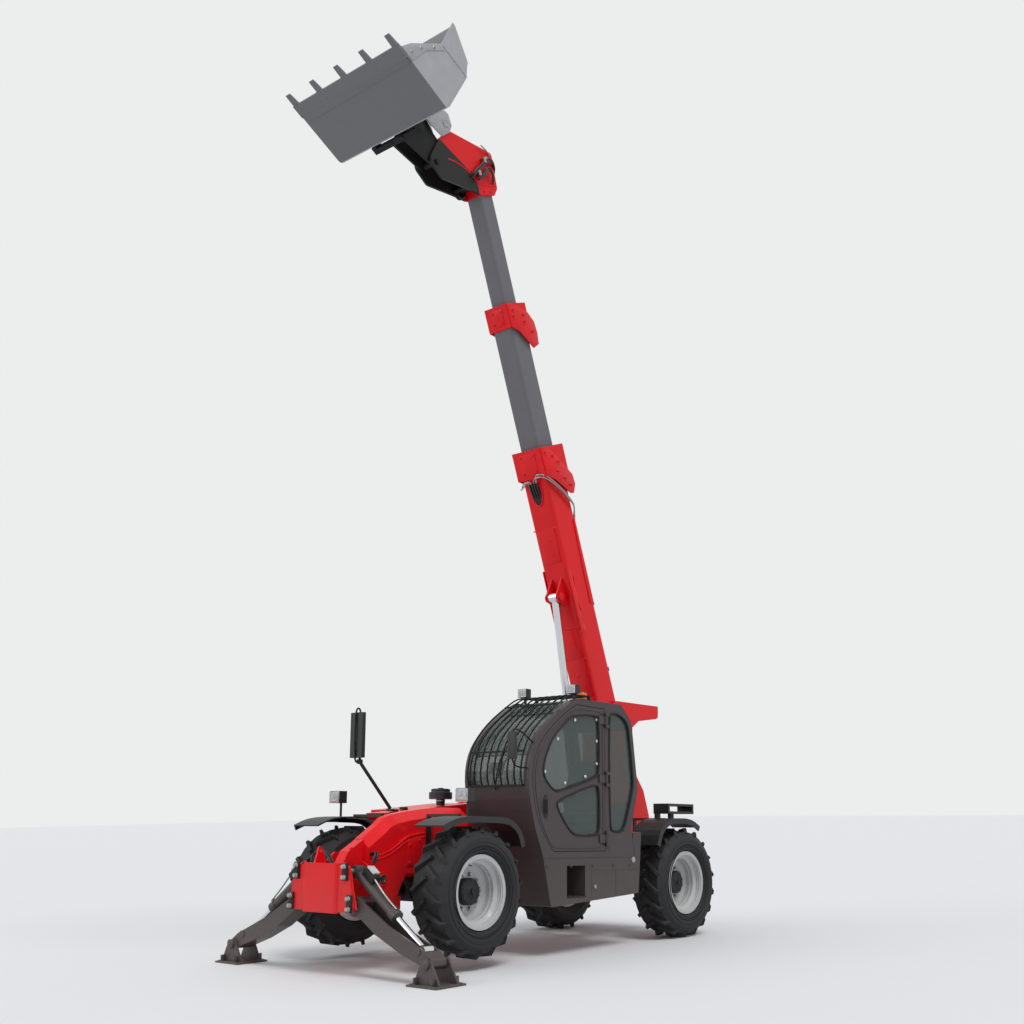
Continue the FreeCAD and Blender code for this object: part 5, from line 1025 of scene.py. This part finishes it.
class TELEHANDLER_OT_engine_side(Operator):
    """Adds the hood's louvres, latches and bead, the air cleaner's bowl and cap, and the filler cap"""

    bl_idname = "telehandler.engine_side"
    bl_label = "Engine side"

    def execute(self, context):
        blades = []
        for n in range(7):
            x = -0.47 + 0.13 * n
            blade = block("blade", (x - 0.045, -1.006, 0.9), (x - 0.01, -0.992, 1.2))
            pick(blade, facing("y", -1))
            bpy.ops.transform.translate(value=(-0.012, 0, 0))
            done()
            blades.append(soften(blade, 0.003))
        fit(joined("louvre_blades", blades), "engine_hood", "red_paint")
        latches = []
        for x in (-0.7, 1.03):
            latch = block("latch", (x - 0.03, -1.008, 0.86), (x + 0.03, -0.998, 0.95))
            latches.append(pressed(latch, "y", -1, 0.01, -0.005, 0.004))
        fit(joined("hood_latches", latches), "engine_hood", "black_plastic")
        outline = ((-0.82, 0.72), (1.02, 0.72), (1.1, 0.95), (1.15, 1.24), (-0.82, 1.24))
        bead = pipe("hood_bead", ring_points(outline, -1.001, 0.05), 0.007, True)
        fit(bead, "engine_hood", "red_paint", ROUND_ANGLE)

        def upright(name, x, y, low, high, radius, sides):
            return drum(name, (x, y, low), (x, y, high), radius, sides)

        bowl = upright("filter_bowl", FILTER_X, FILTER_Y, 1.44, 1.516, 0.124, 40)
        widen(bowl, facing("z"), (0.9, 0.9, 1))
        fit(soften(bowl, 0.012, 3), "chassis", "tinted_bowl", ROUND_ANGLE)
        cap = upright("filter_cap", FILTER_X, FILTER_Y, 1.512, 1.545, 0.1, 40)
        press(cap, facing("z"), 0.012, (0, 0, 0.004))
        press(cap, above(1.547), 0.06, (0, 0, 0.01))
        fit(soften(cap, 0.005), "chassis", "black_plastic")
        band = upright("filter_band", FILTER_X, FILTER_Y, 1.418, 1.434, 0.05, 32)
        fit(pressed(band, "z", 1, 0.003, 0.003, 0.003), "chassis", "pin_steel")
        cap = upright("filler_cap", 1.2, -0.5, 1.325, 1.352, 0.045, 12)
        fit(pressed(cap, "z", 1, 0.012, -0.008, 0.004), "chassis", "black_plastic")
        spots = [((1.46 + a, -0.4 + b, 1.325), (0, 0, 1)) for a in (-0.045, 0.025) for b in (-0.028, 0.028)]
        fit_bolts("mast_bolts", 0.016, 0.01, spots, "chassis", "pin_steel")
        return {"FINISHED"}


# Boom: each sliding section's collar, with its cheeks' face and outline, its bolts and its belly panel

COLLARS = {
    "outer": {
        "body": "outer_boom",
        "face": 0.204,
        "cheek": (
            (3.82, -0.215), (3.82, -0.09), (3.67, 0.06), (3.57, 0.16), (3.45, 0.27), (3.33, 0.285), (3.23, 0.222),
            (3.24, 0.16), (3.43, -0.06), (3.49, -0.2),
        ),
        "bolts": ((3.76, -0.15), (3.7, -0.02), (3.62, 0.06), (3.52, 0.02), (3.42, 0.12), (3.33, 0.2)),
        "panel": (3.5, 3.81, 0.12, -0.222),
    },
    "mid": {
        "body": "middle_boom",
        "face": 0.161,
        "cheek": (
            (5.48, -0.17), (5.48, -0.1), (5.43, 0.06), (5.36, 0.18), (5.25, 0.26), (5.12, 0.272), (4.99, 0.255),
            (4.95, 0.15), (5.16, -0.05), (5.21, -0.165),
        ),
        "bolts": ((5.4, -0.08), (5.34, 0.09), (5.26, 0.08), (5.33, -0.1), (5.14, 0.19)),
        "panel": (5.22, 5.47, 0.09, -0.176),
    },
}
OUTER_FACE, HEAD_FACE = 0.172, 0.124


class TELEHANDLER_OT_boom_plates(Operator):
    """Adds the collars' cheeks and bolts, the stiffening plates and the welds on the boom's outer section"""

    bl_idname = "telehandler.boom_plates"
    bl_label = "Boom plates"

    def execute(self, context):
        for section, collar in COLLARS.items():
            y, body = collar["face"], collar["body"]
            sides = [side_plate("cheek", collar["cheek"], side * (y - 0.004), side * 0.014) for side in (-1, 1)]
            fit(joined(f"collar_cheeks_{section}", sides), body, "red_paint")
            spots = both_sides(y + 0.01, collar["bolts"])
            fit_bolts(f"collar_bolts_{section}", 0.03, 0.014, spots, body, "red_paint")
        for section, collar in COLLARS.items():
            low, high, half, z = collar["panel"]
            panel = block(f"collar_panel_{section}", (low + 0.03, -half, z - 0.006), (high - 0.03, half, z + 0.002))
            fit(soften(panel, 0.004), collar["body"], "red_paint")
            across = (-half + 0.03, half - 0.03)
            spots = [((s, b, z - 0.004), (0, 0, -1)) for s in (low + 0.06, high - 0.06) for b in across]
            fit_bolts(f"panel_bolts_{section}", 0.022, 0.012, spots, collar["body"], "red_paint")
        arc = [(2.31 - 0.41 * k / 8, -0.075 - 0.03 * math.sin(math.pi * k / 8)) for k in range(9)]
        arc += [(s, z - 0.022) for s, z in reversed(arc)]
        strip = ((2.93, 0.135), (2.95, 0.17), (1.96, 0.17), (1.93, 0.155), (1.94, 0.1), (2.3, 0.108))
        doubler = (
            (2.42, -0.188), (2.42, -0.14), (2.3, -0.125), (1.78, -0.125), (1.71, -0.09), (1.66, -0.09), (1.66, -0.188)
        )
        parts = []
        for side in (-1, 1):
            for outline, thickness, bevel in ((strip, 0.012, 0.004), (arc, 0.01, 0.002), (doubler, 0.014, 0.004)):
                parts.append(side_plate("strip", outline, side * (OUTER_FACE - 0.002), side * thickness, bevel))
        fit(joined("outer_side_plates", parts), "outer_boom", "red_paint")
        under = []
        for low, high in ((2.5, 2.89), (0.9, 1.35), (1.36, 1.71)):
            under.append(soften(block("under", (low, -0.13, -0.2), (high, 0.13, -0.188)), 0.004))
        for s in (2.895, 1.355, 1.72):
            run = ((-0.17, -0.191), (-0.05, -0.192), (0.05, -0.192), (0.17, -0.191))
            under.append(pipe("weld", [(s, y, z) for y, z in run], 0.007))
        fit(joined("outer_belly_plates", under), "outer_boom", "red_paint")
        spots = [((s, y, -0.2), (0, 0, -1)) for s, y in ((2.76, 0.04), (2.6, 0.03), (1.55, 0.05), (1.15, 0.0))]
        fit_bolts("belly_plugs", 0.024, 0.008, spots, "outer_boom", "red_paint")
        caps = []
        for side in (-1, 1):
            cap = drum("cap", (2.1157, side * 0.1, -0.2905), (2.1157, side * 0.112, -0.2905), 0.05, 28)
            caps.append(pressed(cap, "y", side, 0.016, 0.004, 0.003))
        fit(joined("lift_pin_caps", caps), "outer_boom", "red_paint")
        return {"FINISHED"}


class TELEHANDLER_OT_boom_lines(Operator):
    """Runs the steel pipes and hoses at the outer collar, along the back and into the head"""

    bl_idname = "telehandler.boom_lines"
    bl_label = "Boom lines"

    def execute(self, context):
        ring = on_circle(32, 0.15, 0.075, (3.32, 0))
        mouth = plate("hose_mouth", ring, 0.006)
        mouth.data.transform(Matrix.Rotation(math.pi, 4, "X"))
        fit(mouth, "outer_boom", "rubber_seal", place=BOOM @ shifted(0, 0.005, -0.1905))
        rim = pipe("mouth_rim", [(s, y + 0.005, -0.195) for s, y in ring[::2]], 0.009, True)
        fit(rim, "outer_boom", "red_paint", ROUND_ANGLE)
        hoses, pipes = [], []
        for n in range(4):
            y = -0.05 + 0.035 * n
            run = ((3.27, -0.192), (3.33, -0.215), (3.4, -0.222), (3.44, -0.228))
            hoses.append(pipe("hose", [(s, y, z) for s, z in run], 0.012))
            if n < 2:
                line = (
                    (3.43, y, -0.228), (3.475, y, -0.25), (3.46, y - 0.06, -0.255), (3.42, y - 0.1, -0.245),
                    (3.4, -0.19 - 0.02 * n, -0.2),
                )
            else:
                # round the left cheek and on to the boom's back
                step = 0.03 * (n - 2)
                line = (
                    (3.43, y, -0.228), (3.49 + step, y + 0.02, -0.25), (3.5 + step, 0.14, -0.245),
                    (3.46 + step, 0.212, -0.2), (3.3 + step, 0.213, 0.0), (3.12 + step, 0.213, 0.15),
                    (3.05 + step, 0.19, 0.205), (2.9, 0.1 + step, 0.218),
                )
            pipes.append(pipe("line", line, 0.008))
        fit(joined("collar_hoses", hoses), "outer_boom", "hose_rubber", ROUND_ANGLE)
        fit(joined("collar_pipes", pipes), "outer_boom", "pin_steel", ROUND_ANGLE)
        lines = []
        for y in (0.1, 0.13):
            run = ((-0.45, 0.2), (0.4, 0.204), (1.6, 0.204), (2.6, 0.204), (2.9, 0.218))
            lines.append(pipe("line", [(s, y, z) for s, z in run], 0.009))
        fit(joined("back_pipes", lines), "outer_boom", "pin_steel", ROUND_ANGLE)
        clips = []
        for s in (0.3, 1.1, 1.9, 2.6):
            clips.append(soften(block("clip", (s, 0.082, 0.189), (s + 0.05, 0.148, 0.216)), 0.005))
        fit(joined("pipe_clips", clips), "outer_boom", "black_plastic")
        # head: two lines down the left cheek, a coiled pair at its root and a loop under it
        down = (
            (6.93, 0.06, 0.228), (7.02, 0.13, 0.236), (7.1, 0.168, 0.15), (7.08, 0.17, 0.05),
            (7.0, 0.17, -0.08), (6.93, 0.168, -0.2), (6.9, 0.12, -0.235), (6.87, 0.03, -0.24),
        )
        coil = (
            (6.88, 0.17, -0.15), (6.9, 0.172, -0.04), (6.98, 0.172, 0.03), (7.0, 0.17, 0.09),
            (6.9, 0.17, 0.13), (6.84, 0.16, 0.09),
        )
        loop = (
            (6.98, 0, -0.19), (6.88, -0.02, -0.23), (6.78, -0.02, -0.26), (6.73, 0, -0.24),
            (6.75, 0.03, -0.2), (6.85, 0.02, -0.16), (6.95, 0, -0.15),
        )
        head = []
        for n in range(2):
            s, y = 0.028 * n, -0.07 - 0.035 * n
            head.append(pipe("hose", [(a + s, b, c) for a, b, c in down], 0.012))
            head.append(pipe("hose", [(a + s, b, c) for a, b, c in coil], 0.011))
            head.append(pipe("hose", [(a, y + b, c) for a, b, c in loop], 0.012))
        fit(joined("head_hoses", head), "inner_boom", "hose_rubber", ROUND_ANGLE)
        short = ((7.08, -0.11, 0.24), (7.09, 0.0, 0.245), (7.08, 0.1, 0.24), (7.06, 0.14, 0.21))
        long = ((7.13, -0.11, 0.24), (7.14, 0.0, 0.25), (7.16, 0.1, 0.24), (7.22, 0.165, 0.1), (7.27, 0.165, 0.02))
        across = [pipe("line", short, 0.008), pipe("line", long, 0.008)]
        for s, z in ((7.1, 0.02), (6.95, -0.12)):
            across.append(soften(block("clip", (s - 0.03, HEAD_FACE, z - 0.02), (s + 0.03, 0.186, z + 0.02)), 0.006))
        fit(joined("head_pipes", across), "inner_boom", "pin_steel", ROUND_ANGLE)
        return {"FINISHED"}


class TELEHANDLER_OT_head_fittings(Operator):
    """Adds pin caps, a stiffened edge and bolts to the boom's head"""

    bl_idname = "telehandler.head_fittings"
    bl_label = "Head fittings"

    def execute(self, context):
        caps, ridges = [], []
        for side in (-1, 1):
            cap = drum("cap", (7.12, side * HEAD_FACE, 0.102), (7.12, side * 0.136, 0.102), 0.04, 28)
            caps.append(pressed(cap, "y", side, 0.014, 0.004, 0.003))
            edge = ((6.84, 0.185), (6.8, -0.1), (6.94, -0.2), (7.08, -0.42), (7.1, -0.56))
            ridges.append(pipe("ridge", [(s, side * HEAD_FACE, z) for s, z in edge], 0.008))
        fit(joined("head_pin_caps", caps), "inner_boom", "pin_steel")
        fit(joined("head_ridges", ridges), "inner_boom", "red_paint", ROUND_ANGLE)
        spots = both_sides(HEAD_FACE, ((6.76, 0.06), (6.76, -0.05), (6.86, 0.14)))
        fit_bolts("head_bolts", 0.024, 0.012, spots, "inner_boom", "red_paint")
        return {"FINISHED"}


# Bucket

BUCKET_HALF = 0.808


class TELEHANDLER_OT_bucket_wear(Operator):
    """Adds the bucket's cutting edge, side cutters and top bar, and the hitch's ears"""

    bl_idname = "telehandler.bucket_wear"
    bl_label = "Bucket wear parts"

    def execute(self, context):
        half = BUCKET_HALF
        edge = block("bucket_edge", (0.56, -half + 0.01, -0.009), (0.74, half - 0.01, 0.001))
        fit(soften(edge, 0.004), "tool", "bucket_grey")
        ear = (
            (-0.05, 0.47), (-0.05, 0.57), (-0.18, 0.6), (-0.293, 0.8), (-0.355, 0.81), (-0.46, 0.737),
            (-0.476, 0.641), (-0.424, 0.5), (-0.25, 0.47),
        )
        ears = []
        for side in (-1, 1):
            ears.append(side_plate("ear", ear, side * 0.132, side * 0.014))
            boss = drum("boss", (-0.38, side * 0.144, 0.68), (-0.38, side * 0.154, 0.68), 0.045, 28)
            ears.append(pressed(boss, "y", side, 0.016, -0.004, 0.003))
        fit(joined("hitch_ears", ears), "tool", "bucket_grey")
        run = ((0.56, 0.02), (0.735, 0.02), (0.672, 0.16), (0.4, 0.565), (0.34, 0.53), (0.5, 0.29))
        cutters = []
        for side in (-1, 1):
            cutters.append(side_plate("cutter", run, side * half - side * 0.001, side * 0.007, 0.002))
            seam = [(s, side * 0.81, z) for s, z in ((0.4, 0.56), (0.2, 0.57), (-0.02, 0.575))]
            cutters.append(pipe("seam", seam, 0.004))
        fit(joined("bucket_cutters", cutters), "tool", "bucket_grey")
        spots = both_sides(half + 0.006, ((0.62, 0.1), (0.56, 0.25), (0.45, 0.42)))
        fit_bolts("cutter_bolts", 0.024, 0.014, spots, "tool", "pin_steel")
        lip = [(0.05, y, 0.752) for y in (-half + 0.02, -0.3, 0.3, half - 0.02)]
        fit(pipe("bucket_lip", lip, 0.014), "tool", "bucket_grey", ROUND_ANGLE)
        return {"FINISHED"}


# Frame and underside

class TELEHANDLER_OT_frame_fittings(Operator):
    """Adds the tower's pin caps and bolts, and the axles' cast covers"""

    bl_idname = "telehandler.frame_fittings"
    bl_label = "Frame fittings"

    def execute(self, context):
        caps, spots = [], []
        for y, side in ((-0.31, -1), (0.111, 1)):
            cap = drum("cap", (PIVOT_X, y, PIVOT_Z), (PIVOT_X, y + side * 0.012, PIVOT_Z), 0.085, 32)
            caps.append(pressed(cap, "y", side, 0.03, 0.006, 0.004))
        fit(joined("tower_pin_caps", caps), "chassis", "black_steel")
        for y, side in ((-0.324, -1), (0.123, 1)):
            spots += [((x, y, z), (0, side, 0)) for x, z in on_circle(6, 0.066, 0.066, (PIVOT_X, PIVOT_Z))]
        fit_bolts("tower_pin_bolts", 0.02, 0.012, spots, "chassis", "pin_steel")
        for label, x in (("front", WHEELBASE / 2), ("rear", -WHEELBASE / 2)):
            cover = drum(f"axle_cover_{label}", (x + 0.12, 0, TYRE_RADIUS), (x + 0.19, 0, TYRE_RADIUS), 0.13, 28)
            fit(pressed(cover, "x", 1, 0.04, 0.03, 0.008), "chassis", "axle_grey")
        return {"FINISHED"}


# Stage and panel

SUNS = (("high_soft_sun", 1.5, 25, (28, 8, 150)), ("side_fill", 0.8, 50, (62, 0, 60)))
CAMERA_AT, CAMERA_ANGLES = (9.9512 + RECENTRED, 8.7108, 1.4848), (221.4762, 9.714, -0.7694)
CAMERA_LENS, CAMERA_SHIFT = 43.216, (0.004, 0.0766)


class TELEHANDLER_OT_stage(Operator):
    """Sets the floor, the soft light and the camera at the photograph's angle"""

    bl_idname = "telehandler.stage"
    bl_label = "Stage"

    def execute(self, context):
        scene = context.scene
        clear_selection()
        bpy.ops.mesh.primitive_plane_add(size=160, location=(0, 0, 0))
        floor = named("studio_floor")
        finish = new_finish("pale_matt_floor", Base_Color=linear("#d9dadb"), Roughness=0.85)[0]
        floor.data.materials.append(finish)
        self.light(scene)
        self.stand_camera(scene)
        scene.view_settings.view_transform = "Standard"
        return {"FINISHED"}

    @staticmethod
    def light(scene):
        """An overcast world, brighter where it is seen or mirrored than where it lights, and two soft suns."""
        world = bpy.data.worlds.new("overcast_studio")
        scene.world = world
        world.use_nodes = True
        tree = world.node_tree
        tree.nodes.clear()
        rays = add_node(tree, "ShaderNodeLightPath").outputs
        seen = add_node(tree, "ShaderNodeBackground", {"Color": linear("#eceded"), "Strength": 1.0})
        lit = add_node(tree, "ShaderNodeBackground", {"Color": linear("#f1f4f8"), "Strength": 0.62})
        either = {"operation": "MAXIMUM"}
        mirrored = add_node(tree, "ShaderNodeMath", either, i0=rays["Is Glossy Ray"], i1=rays["Is Transmission Ray"])
        plain = add_node(tree, "ShaderNodeMath", either, i0=rays["Is Camera Ray"], i1=mirrored.outputs[0])
        chosen = add_node(tree, "ShaderNodeMixShader", i0=plain.outputs[0], i1=lit.outputs[0], i2=seen.outputs[0])
        add_node(tree, "ShaderNodeOutputWorld", Surface=chosen.outputs[0])
        for name, strength, spread, turn in SUNS:
            lamp = bpy.data.lights.new(name, "SUN")
            lamp.energy = strength
            lamp.angle = math.radians(spread)
            holder = bpy.data.objects.new(name, lamp)
            scene.collection.objects.link(holder)
            holder.rotation_euler = [math.radians(v) for v in turn]

    @staticmethod
    def stand_camera(scene):
        """The camera, where the photographer stood."""
        yaw, pitch, roll = (math.radians(v) for v in CAMERA_ANGLES)
        ahead = Vector((math.cos(pitch) * math.cos(yaw), math.cos(pitch) * math.sin(yaw), math.sin(pitch)))
        level = ahead.cross(Vector((0, 0, 1))).normalized()
        over = level.cross(ahead)
        right = math.cos(roll) * level + math.sin(roll) * over
        up = -math.sin(roll) * level + math.cos(roll) * over
        view = bpy.data.cameras.new("photo_camera")
        view.lens = CAMERA_LENS
        view.shift_x, view.shift_y = CAMERA_SHIFT
        view.clip_end = 400
        camera = bpy.data.objects.new("photo_camera", view)
        scene.collection.objects.link(camera)
        turn = Matrix((right, up, -ahead)).transposed().to_4x4()
        camera.matrix_world = Matrix.Translation(CAMERA_AT) @ turn
        scene.camera = camera


OPERATORS = [
    TELEHANDLER_OT_finishes,
    TELEHANDLER_OT_wheel_trim,
    TELEHANDLER_OT_nose_fittings,
    TELEHANDLER_OT_stabiliser_fittings,
    TELEHANDLER_OT_lamps,
    TELEHANDLER_OT_mirrors,
    TELEHANDLER_OT_door_trim,
    TELEHANDLER_OT_cab_trim,
    TELEHANDLER_OT_cab_inside,
    TELEHANDLER_OT_engine_side,
    TELEHANDLER_OT_boom_plates,
    TELEHANDLER_OT_boom_lines,
    TELEHANDLER_OT_head_fittings,
    TELEHANDLER_OT_bucket_wear,
    TELEHANDLER_OT_frame_fittings,
    TELEHANDLER_OT_stage,
]


class TELEHANDLER_PT_build(Panel):
    """Lists the steps that dress the machine"""

    bl_idname = "TELEHANDLER_PT_build"
    bl_label = "Telehandler"
    bl_space_type = "VIEW_3D"
    bl_region_type = "UI"
    bl_category = "Telehandler"

    def draw(self, context):
        for group in (context.scene.telehandler_colours, context.scene.telehandler_sizes):
            for key in group.bl_rna.properties.keys():
                if key not in {"rna_type", "name"}:
                    self.layout.prop(group, key)
        for step in OPERATORS:
            self.layout.operator(step.bl_idname)


CLASSES = [TelehandlerColours, TelehandlerSizes] + OPERATORS + [TELEHANDLER_PT_build]


def register():
    for item in CLASSES:
        bpy.utils.register_class(item)
    bpy.types.Scene.telehandler_colours = PointerProperty(type=TelehandlerColours)
    bpy.types.Scene.telehandler_sizes = PointerProperty(type=TelehandlerSizes)


def unregister():
    del bpy.types.Scene.telehandler_sizes
    del bpy.types.Scene.telehandler_colours
    for item in reversed(CLASSES):
        bpy.utils.unregister_class(item)


def main():
    register()
    for step in OPERATORS:
        group, call = step.bl_idname.split(".")
        getattr(getattr(bpy.ops, group), call)()


if __name__ == "__main__":
    main()
